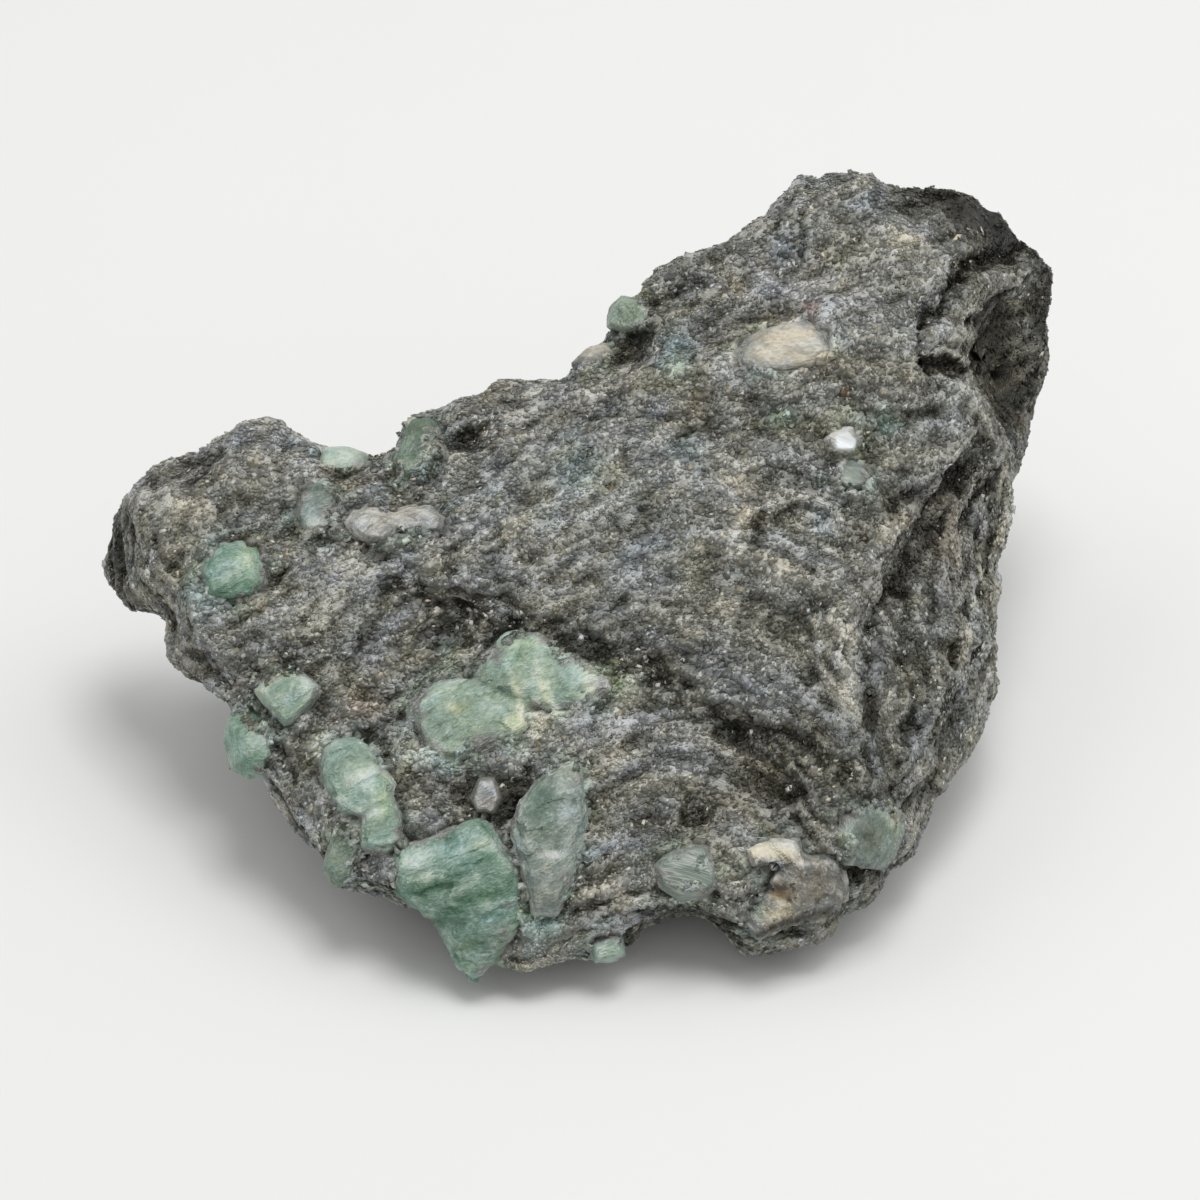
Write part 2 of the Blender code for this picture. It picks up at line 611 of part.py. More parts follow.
def local_plane(tree, outline):
    """Level and slopes, over the leaning plane, of the schist around an outline as seen."""
    middle = np.mean(outline, axis=0)
    rows = []
    for share in (1.15, 0.6, 0.0):
        for corner in np.array(outline, float):
            across, down = middle + (corner - middle) * share
            near, far = in_world(*as_seen(np.full(2, across), np.full(2, down),
                                          np.array((40.0, -40.0)))) * MM
            hit, _, _, _ = tree.ray_cast(Vector(near), Vector(far - near).normalized())
            if hit is None:
                continue
            seen = np.array(hit) / MM
            seen[2] -= CENTRE_HEIGHT
            height = seen @ TOWARD - leaning_plane(down)
            rows.append(((across - middle[0]) * POINT, (down - middle[1]) * POINT, height))
    table = np.array(rows)
    matrix = np.column_stack((np.ones(len(table)), table[:, :2]))
    steady = np.diag((0.0, 8.0, 8.0))
    return np.linalg.solve(matrix.T @ matrix + steady, matrix.T @ table[:, 2])


def grain_points(tree, grain):
    """The outline, top and base corners of a grain of the face, in world millimetres."""
    outline = np.array(grain.outline, float)
    middle = outline.mean(0)
    level, slope_across, slope_down = local_plane(tree, grain.outline)

    def lifted(spots, over):
        offset = (spots - middle) * POINT
        height = leaning_plane(spots[:, 1]) + level + over
        height = height + slope_across * offset[:, 0] + slope_down * offset[:, 1]
        return in_world(*as_seen(spots[:, 0], spots[:, 1], height))

    offset = outline - middle
    reach = np.hypot(offset[:, 0], offset[:, 1])[:, None]
    inner = middle + offset * (1.0 - grain.bevel / POINT / reach)
    normal = FOLIATION - slope_across * RIGHT + slope_down * UP
    normal /= np.linalg.norm(normal)
    inward = np.array((0.0, 1.0, 0.12)) if grain.level else -normal
    waist = lifted(outline, -0.35)
    top = lifted(inner, grain.rise)
    base = lifted(middle + offset * grain.taper, -0.35) + inward * grain.depth
    points = [waist, top, base]
    if grain.crest:
        crest = np.array(grain.crest, float)
        points.append(lifted(crest[:, :2], grain.rise + crest[:, 2]))
    return np.concatenate(points)


def hidden_grain_points(tree, grain):
    """The corners of a six-sided crystal set in the schist's surface, in millimetres."""
    outward = Vector(grain.outward).normalized()
    start = Vector(grain.place) + outward * 60.0
    hit, normal, _, _ = tree.ray_cast(start * MM, -outward)
    normal = (0.6 * normal + outward).normalized()
    side = normal.orthogonal().normalized()
    ahead = normal.cross(side)
    turn = math.radians(grain.turn)
    points = []
    for scale, height in ((1.0, -0.3), (0.82, grain.rise), (0.72, -grain.depth)):
        for corner in range(6):
            angle = math.radians(60.0 * corner)
            along = 0.5 * grain.length * scale * math.cos(angle)
            over = 0.5 * grain.width * scale * math.sin(angle)
            out = along * math.cos(turn) - over * math.sin(turn)
            up = along * math.sin(turn) + over * math.cos(turn)
            points.append(np.array(hit / MM + side * out + ahead * up + normal * height))
    return np.array(points)


def hull(name, points):
    """A closed body with flat faces through the outermost of the points."""
    shape = bmesh.new()
    corners = [shape.verts.new(point) for point in points * MM]
    result = bmesh.ops.convex_hull(shape, input=corners, use_existing_faces=False)
    spare = {item for item in result["geom_interior"] + result["geom_unused"]
             if isinstance(item, bmesh.types.BMVert)}
    bmesh.ops.delete(shape, geom=list(spare), context="VERTS")
    bmesh.ops.recalc_face_normals(shape, faces=shape.faces)
    mesh = bpy.data.meshes.new(name)
    shape.to_mesh(mesh)
    shape.free()
    return new_object(name, mesh)


def swollen_points(piece):
    """The corners of a hull moved out so that each of its faces clears by the pocket gap."""
    shape = bmesh.new()
    shape.from_mesh(piece.data)
    points = [vert.co + vert.normal * POCKET_GAP * MM * vert.calc_shell_factor()
              for vert in shape.verts]
    shape.free()
    return np.array(points) / MM


def as_cutter(piece):
    """Mark an object as one that only shapes others."""
    piece.hide_render = True
    piece.display_type = "WIRE"
    return piece


def combine(piece, others, operation):
    """Join other bodies to an object or cut them from it, and remove them."""
    for other in others:
        step = piece.modifiers.new(operation.lower(), "BOOLEAN")
        step.operation = operation
        step.solver = "EXACT"
        step.object = as_cutter(other)
    settle(piece)
    for other in others:
        bpy.data.objects.remove(other, do_unlink=True)


def grains_and_pockets(tree):
    """Every grain as one body, and the pockets that they need in the schist."""
    grains = []
    pockets = []
    sets = {name: [grain_points(tree, grain) for grain in parts]
            for name, parts in GRAINS.items()}
    sets.update({name: [hidden_grain_points(tree, grain)]
                 for name, grain in HIDDEN_GRAINS.items()})
    for name, parts in sets.items():
        bodies = [hull(name, points) for points in parts]
        pockets += [hull("pocket", swollen_points(body)) for body in bodies]
        if len(bodies) > 1:
            combine(bodies[0], bodies[1:], "UNION")
        grains.append(bodies[0])
    return grains, pockets


def table_block():
    """A block whose top is the table, to flatten what would reach below it."""
    bpy.ops.mesh.primitive_cube_add(size=200.0 * MM, location=(0.0, 0.0, -100.0 * MM))
    return bpy.context.object


def flatten_feet(pieces):
    """Cut every piece that reaches below the table level with it."""
    for piece in pieces:
        if min(vert.co.z for vert in piece.data.vertices) < 0.0:
            combine(piece, [table_block()], "DIFFERENCE")


def drop_chips(piece):
    """Keep the largest body of an object, without the loose chips that cuts left."""
    shape = bmesh.new()
    shape.from_mesh(piece.data)
    seen = set()
    bodies = []
    for start in shape.verts:
        if start in seen:
            continue
        seen.add(start)
        body = [start]
        for vert in body:
            for edge in vert.link_edges:
                other = edge.other_vert(vert)
                if other not in seen:
                    seen.add(other)
                    body.append(other)
        bodies.append(body)
    bodies.sort(key=len, reverse=True)
    spare = [vert for body in bodies[1:] for vert in body]
    bmesh.ops.delete(shape, geom=spare, context="VERTS")
    shape.to_mesh(piece.data)
    shape.free()


def finish_of(name):
    """Colour and roughness of a piece, by its name."""
    if name == "schist":
        return (0.15, 0.15, 0.13, 1.0), 0.6
    if name.startswith("emerald"):
        return (0.22, 0.36, 0.28, 1.0), 0.35
    if name.startswith("quartz"):
        return (0.42, 0.41, 0.37, 1.0), 0.3
    return (0.40, 0.38, 0.30, 1.0), 0.5


def dress(piece):
    """Give a piece its own material."""
    colour, roughness_value = finish_of(piece.name)
    material = bpy.data.materials.new(piece.name)
    material.use_nodes = True
    shader = material.node_tree.nodes["Principled BSDF"]
    shader.inputs["Base Color"].default_value = colour
    shader.inputs["Roughness"].default_value = roughness_value
    shader.inputs["Metallic"].default_value = 0.0
    material.diffuse_color = colour
    piece.data.materials.clear()
    piece.data.materials.append(material)


def set_down(pieces):
    """Move the pieces so that the origin is under the middle of them all, and tell the move."""
    corners = np.array([vert.co for piece in pieces for vert in piece.data.vertices])
    low = corners.min(0)
    high = corners.max(0)
    shift = Vector((-(low[0] + high[0]) / 2.0, -(low[1] + high[1]) / 2.0, -low[2]))
    for piece in pieces:
        piece.data.transform(Matrix.Translation(shift))
    return shift


def main():
    """Build the chunk and what sits in it."""
    for old in list(bpy.data.objects):
        bpy.data.objects.remove(old, do_unlink=True)
    schist = schist_block()
    weather(schist)
    thin_out(schist, SCHIST_TRIANGLES)
    grains, pockets = grains_and_pockets(surface_of(schist))
    combine(schist, pockets, "DIFFERENCE")
    pieces = [schist] + grains
    flatten_feet(pieces)
    drop_chips(schist)
    for piece in pieces:
        dress(piece)
    return set_down(pieces)


main()
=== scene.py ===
"""Dress a rough emerald: green beryl crystals, quartz and feldspar in dark mica schist.

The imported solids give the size, the places and the main forms. The rock gets one finely broken
skin with mica flakes on it, and every crystal and grain a worn copy of its own solid.
Shapes are worked in millimetres in the part's own frame, and handed to Blender in metres.
"""
import json
import logging
import math
from dataclasses import dataclass, fields
from enum import Enum

import bpy
import numpy as np
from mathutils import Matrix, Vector
from mathutils.bvhtree import BVHTree

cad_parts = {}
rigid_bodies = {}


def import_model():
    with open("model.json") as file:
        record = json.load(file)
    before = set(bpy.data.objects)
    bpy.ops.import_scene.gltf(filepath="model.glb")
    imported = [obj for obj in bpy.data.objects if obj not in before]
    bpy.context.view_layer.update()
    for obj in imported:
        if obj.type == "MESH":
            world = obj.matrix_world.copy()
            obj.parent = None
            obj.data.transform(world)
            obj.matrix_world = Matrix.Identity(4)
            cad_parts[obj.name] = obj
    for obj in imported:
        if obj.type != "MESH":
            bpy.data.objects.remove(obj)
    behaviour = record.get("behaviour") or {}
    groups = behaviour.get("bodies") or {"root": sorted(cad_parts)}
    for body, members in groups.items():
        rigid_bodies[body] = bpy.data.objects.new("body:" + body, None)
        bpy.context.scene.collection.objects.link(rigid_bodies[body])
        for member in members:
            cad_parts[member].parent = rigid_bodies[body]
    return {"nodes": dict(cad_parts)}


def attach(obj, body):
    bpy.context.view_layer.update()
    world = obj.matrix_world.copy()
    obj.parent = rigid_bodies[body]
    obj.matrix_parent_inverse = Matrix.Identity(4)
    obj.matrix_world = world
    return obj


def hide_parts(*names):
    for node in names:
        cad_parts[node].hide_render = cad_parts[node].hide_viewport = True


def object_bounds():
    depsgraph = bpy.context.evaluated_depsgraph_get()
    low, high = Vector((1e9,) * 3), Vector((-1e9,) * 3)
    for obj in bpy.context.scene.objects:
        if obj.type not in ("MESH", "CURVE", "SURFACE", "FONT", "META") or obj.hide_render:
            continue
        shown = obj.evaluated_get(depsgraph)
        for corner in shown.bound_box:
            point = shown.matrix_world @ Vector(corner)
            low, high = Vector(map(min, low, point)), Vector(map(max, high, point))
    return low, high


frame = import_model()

CAD_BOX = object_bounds()
LOG = logging.getLogger("rough_emerald")
MM = 0.001

Triple = tuple[float, float, float]
Socket = bpy.types.NodeSocket


class Kept(Enum):
    """What is kept at a mesh's points, for the materials and the later pieces."""

    TONE = "tone"
    TINT = "tint"
    GRAIN = "grain"
    # How hollow a point is; the rock and the flakes take painted shade from it.
    HOLLOW = "hollow"
    CRUST = "crust"
    RIDGE = "ridge"
    SLEEK = "sleek"
    BARE = "bare"


def unit(vector: np.ndarray) -> np.ndarray:
    """Scale a vector, or each row of an array, to length one."""
    length = np.linalg.norm(vector, axis=-1, keepdims=True)
    return vector / np.maximum(length, 1e-12)


def ease(value: np.ndarray) -> np.ndarray:
    """Smooth step from 0 to 1."""
    value = np.clip(value, 0.0, 1.0)
    return value * value * (3.0 - 2.0 * value)


@dataclass(frozen=True)
class View:
    """How the chunk is looked at. Picture places are in points, 1200 across and down."""

    elevation: float = math.radians(40.0)
    distance: float = 400.0
    point: float = 80.0 / 957.0
    points_across: float = 1200.0
    middle: float = 600.0
    sensor: float = 36.0
    centre: Triple = (1.281, -5.524, 19.7)

    @property
    def right(self) -> np.ndarray:
        """The way right in the picture."""
        return np.array((1.0, 0.0, 0.0))

    @property
    def up(self) -> np.ndarray:
        """The way up in the picture."""
        return np.array((0.0, math.sin(self.elevation), math.cos(self.elevation)))

    @property
    def toward(self) -> np.ndarray:
        """The way from the chunk to the viewer."""
        return np.array((0.0, -math.cos(self.elevation), math.sin(self.elevation)))

    def picture_places(self, points: np.ndarray) -> tuple[np.ndarray, np.ndarray]:
        """Find where points fall in the picture.

        Args:
            points: Places in millimetres, one row each.

        Returns:
            How far across and how far down each is, in picture points.
        """
        offset = points - np.array(self.centre)
        nearness = self.distance / (self.distance - offset @ self.toward)
        across = self.middle + (offset @ self.right) * nearness / self.point
        down = self.middle - (offset @ self.up) * nearness / self.point
        return across, down

    def add_camera(self) -> None:
        """Stand the camera where the chunk was looked at from."""
        place = np.array(self.centre) + self.toward * self.distance
        turn = (math.radians(90.0) - self.elevation, 0.0, 0.0)
        bpy.ops.object.camera_add(location=place * MM, rotation=turn)
        camera = bpy.context.object
        camera.name = "camera"
        camera.data.sensor_width = self.sensor
        camera.data.lens = self.sensor * self.distance / (self.points_across * self.point)
        camera.data.clip_start = 0.01
        camera.data.clip_end = 20.0
        bpy.context.scene.camera = camera


@dataclass(frozen=True)
class Foliation:
    """The way the rock splits and the way its mica is drawn out.

    The streaks steepen from the left of the face to its right.
    """

    face_lean: float = math.radians(25.0)
    left_turn: float = math.radians(31.0)
    right_turn: float = math.radians(74.0)
    bend_start: float = 2.0
    bend_end: float = 35.0
    layer_squeeze: float = 1.8
    half_span: float = 60.0
    spots: int = 601

    @property
    def out(self) -> np.ndarray:
        """The way out of the split face."""
        return math.sin(self.face_lean) * VIEW.up + math.cos(self.face_lean) * VIEW.toward

    @property
    def rise(self) -> np.ndarray:
        """The way up in the split face."""
        return math.cos(self.face_lean) * VIEW.up - math.sin(self.face_lean) * VIEW.toward

    def turn(self, right: np.ndarray) -> np.ndarray:
        """How steeply the streaks rise at places to the right."""
        share = ease((right - self.bend_start) / (self.bend_end - self.bend_start))
        return self.left_turn + (self.right_turn - self.left_turn) * share

    def along(self, points: np.ndarray) -> np.ndarray:
        """The way of the streaks at points."""
        turn = self.turn(points @ VIEW.right)[:, None]
        return np.cos(turn) * VIEW.right + np.sin(turn) * self.rise

    def grain(self, points: np.ndarray) -> np.ndarray:
        """Places counted along the streaks, across them and through the layers.

        Args:
            points: Places in millimetres, one row each.

        Returns:
            One row each, smooth all over the rock.
        """
        right = points @ VIEW.right
        rise = points @ self.rise
        spots = np.linspace(-self.half_span, self.half_span, self.spots)
        heights = np.cumsum(np.tan(self.turn(spots))) * (spots[1] - spots[0])
        turn = self.turn(right)
        return np.stack((right * np.cos(turn) + rise * np.sin(turn),
                         (rise - np.interp(right, spots, heights)) * np.cos(turn),
                         (points @ self.out) * self.layer_squeeze), 1)


VIEW = View()
ROCK = Foliation()
SPLIT = ROCK.out


class Wander:
    """Smooth noise that fills space and is the same on every run."""

    CELLS = 32
    SHIFT = 7.3
    FADE = 0.5
    SHRINK = 0.49

    def __init__(self, seed: int) -> None:
        """Draw the lattice that the noise is blended from."""
        shape = (self.CELLS, self.CELLS, self.CELLS)
        self.lattice = np.random.default_rng(seed).uniform(-1.0, 1.0, shape)

    def at(self, points: np.ndarray, size: float) -> np.ndarray:
        """Blend the noise at points.

        Args:
            points: Places, one row each.
            size: The size of the noise's features, in the points' unit.

        Returns:
            A value from -1 to 1 for each point.
        """
        spots = points / size
        low = np.floor(spots).astype(int)
        share = ease(spots - low)
        total = np.zeros(len(points))
        for corner in range(8):
            step = np.array((corner & 1, corner >> 1 & 1, corner >> 2 & 1))
            weight = np.prod(np.where(step, share, 1.0 - share), axis=1)
            x, y, z = ((low + step) % self.CELLS).T
            total += weight * self.lattice[x, y, z]
        return total

    def layered(self, points: np.ndarray, size: float, layers: int) -> np.ndarray:
        """Blend noise with ever finer and weaker features.

        Args:
            points: Places, one row each.
            size: The size of the broadest features, in the points' unit.
            layers: How many sizes of features there are.

        Returns:
            A value from about -1 to 1 for each point.
        """
        total = np.zeros(len(points))
        strength = 1.0
        for layer in range(layers):
            total += strength * self.at(points + self.SHIFT * layer, size)
            strength *= self.FADE
            size *= self.SHRINK
        return total


@dataclass(frozen=True)
class Pattern:
    """One pattern of smooth noise: its seed, the sizes of its features and its strength."""

    seed: int
    stretch: Triple = (1.0, 1.0, 1.0)
    size: float = 1.0
    layers: int = 1
    strength: float = 1.0

    def at(self, places: np.ndarray) -> np.ndarray:
        """The pattern's value at places, one row each."""
        spots = places / self.stretch
        return self.strength * Wander(self.seed).layered(spots, self.size, self.layers)


@dataclass(frozen=True)
class SplitPattern:
    """A pattern for the split faces, and one for the sides, where the layers' edges show."""

    face: Pattern
    side: Pattern

    def at(self, grain: np.ndarray, on_side: np.ndarray) -> np.ndarray:
        """The blend of both at places, by how far each lies on a side."""
        return self.face.at(grain) * (1.0 - on_side) + self.side.at(grain) * on_side


def side_share(normals: np.ndarray) -> np.ndarray:
    """How surely each point is on a side that cuts across the layers, from 0 to 1."""
    return ease((0.85 - np.abs(normals @ SPLIT)) / 0.3)


class BrokenFacets:
    """Flat chips at random tilts with steps between them, as on a broken surface."""

    CELLS = 24
    NEIGHBOURS = 27

    def __init__(self, seed: int) -> None:
        """Draw each chip's place in its cell, its level and its tilt.

        Args:
            seed: Picks the chips.
        """
        draw = np.random.default_rng(seed)
        shape = (self.CELLS, self.CELLS, self.CELLS)
        self.jitter = draw.uniform(0.0, 1.0, shape + (3,))
        self.level = draw.uniform(-1.0, 1.0, shape)
        self.tilt = draw.uniform(-1.0, 1.0, shape + (3,))

    def at(self, spots: np.ndarray) -> np.ndarray:
        """Find the height of the chip that each point belongs to.

        Args:
            spots: Places counted in cells, one row each.

        Returns:
            A height from about -1 to 1 for each place.
        """
        cell = np.floor(spots).astype(int)
        nearest = np.full(len(spots), np.inf)
        height = np.zeros(len(spots))
        for index in range(self.NEIGHBOURS):
            step = np.array((index % 3 - 1, index // 3 % 3 - 1, index // 9 - 1))
            x, y, z = ((cell + step) % self.CELLS).T
            offset = spots - (cell + step + self.jitter[x, y, z])
            distance = (offset ** 2).sum(1)
            here = 0.5 * self.level[x, y, z] + (offset * self.tilt[x, y, z]).sum(1)
            closer = distance < nearest
            nearest = np.where(closer, distance, nearest)
            height = np.where(closer, here, height)
        return height


def deselect_all() -> None:
    """Leave nothing selected."""
    bpy.ops.object.select_all(action="DESELECT")


def make_active(piece: bpy.types.Object) -> None:
    """Select one object alone and make it active.

    Args:
        piece: The object to work on next.
    """
    deselect_all()
    piece.select_set(True)
    bpy.context.view_layer.objects.active = piece


def edit_all(piece: bpy.types.Object) -> None:
    """Open a piece in edit mode with everything selected.

    Args:
        piece: The object to edit.
    """
    make_active(piece)
    bpy.ops.object.mode_set(mode="EDIT")
    bpy.ops.mesh.select_all(action="SELECT")


def apply_modifier(piece: bpy.types.Object, kind: str, **settings: object) -> None:
    """Add a modifier to a piece, set it and apply it.

    Args:
        piece: The object to change.
        kind: Blender's name of the modifier's type.
        settings: Values of the modifier's properties.
    """
    make_active(piece)
    step = piece.modifiers.new(kind.lower(), kind)
    for name, value in settings.items():
        setattr(step, name, value)
    bpy.ops.object.modifier_apply(modifier=step.name)


def copy_solid(node: str, name: str) -> bpy.types.Object:
    """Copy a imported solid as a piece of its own, with its loose triangles joined up.

    Args:
        node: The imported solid's name.
        name: The copy's name.

    Returns:
        The copy, with no material.
    """
    mesh = frame["nodes"][node].data.copy()
    mesh.name = name
    mesh.materials.clear()
    piece = bpy.data.objects.new(name, mesh)
    bpy.context.scene.collection.objects.link(piece)
    edit_all(piece)
    bpy.ops.mesh.remove_doubles(threshold=0.002 * MM)
    bpy.ops.object.mode_set(mode="OBJECT")
    return piece


def swell(piece: bpy.types.Object, amount: float) -> None:
    """Move every face of a piece outward.

    Args:
        piece: The object to change.
        amount: How far its faces move, in millimetres.
    """
    edit_all(piece)
    bpy.ops.transform.shrink_fatten(value=amount * MM, use_even_offset=True)
    bpy.ops.object.mode_set(mode="OBJECT")


def keep_main_body(piece: bpy.types.Object) -> None:
    """Delete what isn't joined to a piece's lowest point.

    Args:
        piece: The object to clean.
    """
    lowest = int(np.argmin(points_of(piece)[:, 2]))
    edit_all(piece)
    bpy.ops.mesh.select_mode(type="VERT")
    bpy.ops.mesh.select_all(action="DESELECT")
    bpy.ops.object.mode_set(mode="OBJECT")
    piece.data.vertices[lowest].select = True
    bpy.ops.object.mode_set(mode="EDIT")
    bpy.ops.mesh.select_linked()
    bpy.ops.mesh.select_all(action="INVERT")
    bpy.ops.mesh.delete(type="VERT")
    bpy.ops.object.mode_set(mode="OBJECT")


def vertex_rows(piece: bpy.types.Object, what: str) -> np.ndarray:
    """Read a property of three numbers from each of a piece's points.

    Args:
        piece: The object to read.
        what: Blender's name of the property.

    Returns:
        One row for each point.
    """
    rows = np.empty(len(piece.data.vertices) * 3)
    piece.data.vertices.foreach_get(what, rows)
    return rows.reshape(-1, 3)


def points_of(piece: bpy.types.Object) -> np.ndarray:
    """A piece's points in millimetres."""
    return vertex_rows(piece, "co") / MM


def normals_of(piece: bpy.types.Object) -> np.ndarray:
    """The way out of a piece at each of its points."""
    return vertex_rows(piece, "normal")


def in_box(points: np.ndarray, inset: float) -> np.ndarray:
    """Points in millimetres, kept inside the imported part's box by an inset."""
    low, high = (np.array(corner) / MM for corner in CAD_BOX)
    return np.clip(points, low + inset, high - inset)


def place_points(piece: bpy.types.Object, points: np.ndarray) -> None:
    """Put a piece's points at places in millimetres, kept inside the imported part's box."""
    piece.data.vertices.foreach_set("co", (in_box(points, 0.01) * MM).ravel())
    piece.data.update()


def neighbour_mean(piece: bpy.types.Object, values: np.ndarray, rounds: int) -> np.ndarray:
    """Blur values given at a piece's points along its edges.

    Args:
        piece: The object whose edges join the points.
        values: One number or row for each point.
        rounds: How many times each point takes the mean of its neighbours.

    Returns:
        The blurred values.
    """
    ends = np.empty(len(piece.data.edges) * 2, int)
    piece.data.edges.foreach_get("vertices", ends)
    start, end = ends.reshape(-1, 2).T
    columns = values.reshape(len(values), -1).T.copy()
    count = np.bincount(start, minlength=len(values)) + np.bincount(end, minlength=len(values))
    for _ in range(rounds):
        for index, column in enumerate(columns):
            total = np.bincount(start, column[end], len(values))
            total += np.bincount(end, column[start], len(values))
            columns[index] = total / np.maximum(count, 1)
    return columns.T.reshape(values.shape)


def set_values(piece: bpy.types.Object, what: Kept, values: np.ndarray) -> None:
    """Keep one number for each point of a piece."""
    layer = piece.data.attributes.new(what.value, "FLOAT", "POINT")
    layer.data.foreach_set("value", np.asarray(values, np.float32))


def set_vectors(piece: bpy.types.Object, what: Kept, vectors: np.ndarray) -> None:
    """Keep one vector for each point of a piece."""
    layer = piece.data.attributes.new(what.value, "FLOAT_VECTOR", "POINT")
    layer.data.foreach_set("vector", np.asarray(vectors, np.float32).ravel())


def set_colours(piece: bpy.types.Object, what: Kept, colours: np.ndarray) -> None:
    """Keep one colour for each point of a piece.

    Args:
        piece: The object to mark.
        what: What the colours are kept as.
        colours: Red, green and blue, one row for each point.
    """
    layer = piece.data.attributes.new(what.value, "FLOAT_COLOR", "POINT")
    rows = np.ones((len(colours), 4), np.float32)
    rows[:, :3] = colours
    layer.data.foreach_set("color", rows.ravel())


def read_values(piece: bpy.types.Object, what: Kept) -> np.ndarray:
    """Read back the numbers kept for a piece's points.

    Args:
        piece: The marked object.
        what: What the numbers are kept as.

    Returns:
        One number for each point.
    """
    values = np.empty(len(piece.data.vertices), np.float32)
    piece.data.attributes[what.value].data.foreach_get("value", values)
    return values


def read_colours(piece: bpy.types.Object, what: Kept) -> np.ndarray:
    """Read back the colours kept for a piece's points.

    Args:
        piece: The marked object.
        what: What the colours are kept as.

    Returns:
        Red, green and blue, one row for each point.
    """
    colours = np.empty(len(piece.data.vertices) * 4, np.float32)
    piece.data.attributes[what.value].data.foreach_get("color", colours)
    return colours.reshape(-1, 4)[:, :3]


def surface_tree(piece: bpy.types.Object) -> BVHTree:
    """A tree that finds nearest places and crossings on a piece, in millimetres."""
    corners = [Vector(point) for point in points_of(piece)]
    return BVHTree.FromPolygons(corners, [tuple(face.vertices) for face in piece.data.polygons])


@dataclass(frozen=True)
class Zone:
    """A stretch of the picture where something differs, as a soft oval.

    The turn is in degrees, counted the way that lifts the oval's right end.
    """

    across: float
    down: float
    half_length: float
    half_width: float
    turn: float = 0.0
    tone: float = 0.0
    relief: float = 0.0

    def share(self, across: np.ndarray, down: np.ndarray) -> np.ndarray:
        """Find how much picture places lie in the zone.

        Args:
            across: How far across each place is.
            down: How far down each place is.

        Returns:
            A share from 0 to 1 for each place.
        """
        angle = math.radians(self.turn)
        east = across - self.across
        north = self.down - down
        along = (east * math.cos(angle) + north * math.sin(angle)) / self.half_length
        over = (north * math.cos(angle) - east * math.sin(angle)) / self.half_width
        return np.exp(-(along ** 2 + over ** 2))


@dataclass(frozen=True)
class Stroke:
    """A groove, ridge or band along a line in the picture."""

    path: tuple[tuple[float, float], ...]
    half_width: float
    tone: float = 0.0
    relief: float = 0.0

    def share(self, across: np.ndarray, down: np.ndarray) -> np.ndarray:
        """Find how much picture places lie on the stroke.

        Args:
            across: How far across each place is.
            down: How far down each place is.

        Returns:
            A share from 0 to 1 for each place.
        """
        nearest = np.full(len(across), np.inf)
        for (x0, y0), (x1, y1) in zip(self.path, self.path[1:]):
            run = np.array((x1 - x0, y1 - y0))
            share = ((across - x0) * run[0] + (down - y0) * run[1]) / (run @ run)
            share = np.clip(share, 0.0, 1.0)
            distance = np.hypot(across - x0 - share * run[0], down - y0 - share * run[1])
            nearest = np.minimum(nearest, distance)
        return np.exp(-(nearest / self.half_width) ** 2)


@dataclass(frozen=True)
class Tint:
    """A colour that a zone takes on."""

    zone: Zone
    colour: Triple


Marks = tuple[Zone | Stroke, ...]


def marks(*rows: tuple) -> Marks:
    """Make marks of rows of their numbers: a stroke where the first is a path, or a zone."""
    return tuple((Stroke if isinstance(row[0], tuple) else Zone)(*row) for row in rows)


def tints(*rows: tuple) -> tuple[Tint, ...]:
    """Make tints of rows, each a zone's numbers and then a colour."""
    return tuple(Tint(Zone(*row[:-1]), row[-1]) for row in rows)


@dataclass(frozen=True)
class RaggedEdge:
    """How the edges of marks and tints wander, in picture points."""

    sideways: Pattern
    upright: Pattern

    def picture_places(self, points: np.ndarray) -> tuple[np.ndarray, np.ndarray]:
        """Where points fall in the picture, once they have wandered."""
        across, down = VIEW.picture_places(points)
        return across + self.sideways.at(points), down + self.upright.at(points)


MARK_EDGE = RaggedEdge(Pattern(31, size=2.2, layers=2, strength=5.0),
                       Pattern(32, size=2.2, layers=2, strength=5.0))
TINT_EDGE = RaggedEdge(Pattern(33, size=1.6, layers=2, strength=6.0),
                       Pattern(34, size=1.6, layers=2, strength=6.0))


def seen_share(normals: np.ndarray, past: float = 0.15) -> np.ndarray:
    """How surely each point is on the side that the picture shows, from 0 to 1."""
    return ease((normals @ VIEW.toward + past) / 0.3)


def marks_at(given: Marks, points: np.ndarray, normals: np.ndarray,
             past: float = 0.15) -> tuple[np.ndarray, np.ndarray]:
    """Add up what zones and strokes do at points.

    Args:
        given: What differs where.
        points: Places in millimetres.
        normals: The way out of the surface at each place.
        past: How far past the outline the marks reach.

    Returns:
        The change of tone and the relief in millimetres, both 0 on hidden sides.
    """
    across, down = MARK_EDGE.picture_places(points)
    tone = np.zeros(len(points))
    relief = np.zeros(len(points))
    for mark in given:
        share = mark.share(across, down)
        tone += mark.tone * share
        relief += mark.relief * share
    seen = seen_share(normals, past)
    return tone * seen, relief * seen


def tint_at(given: tuple[Tint, ...], points: np.ndarray, normals: np.ndarray) -> np.ndarray:
    """Work out the colour that tints give to points.

    Args:
        given: Which zone takes on which colour.
        points: Places in millimetres.
        normals: The way out of the surface at each place.

    Returns:
        Colour multipliers, one row each, white where no tint reaches.
    """
    across, down = TINT_EDGE.picture_places(points)
    seen = seen_share(normals)
    colour = np.ones((len(points), 3))
    for tint in given:
        share = (seen * np.clip(1.3 * tint.zone.share(across, down), 0.0, 1.0))[:, None]
        colour = colour * (1.0 - share) + colour * np.array(tint.colour) * share
    return colour


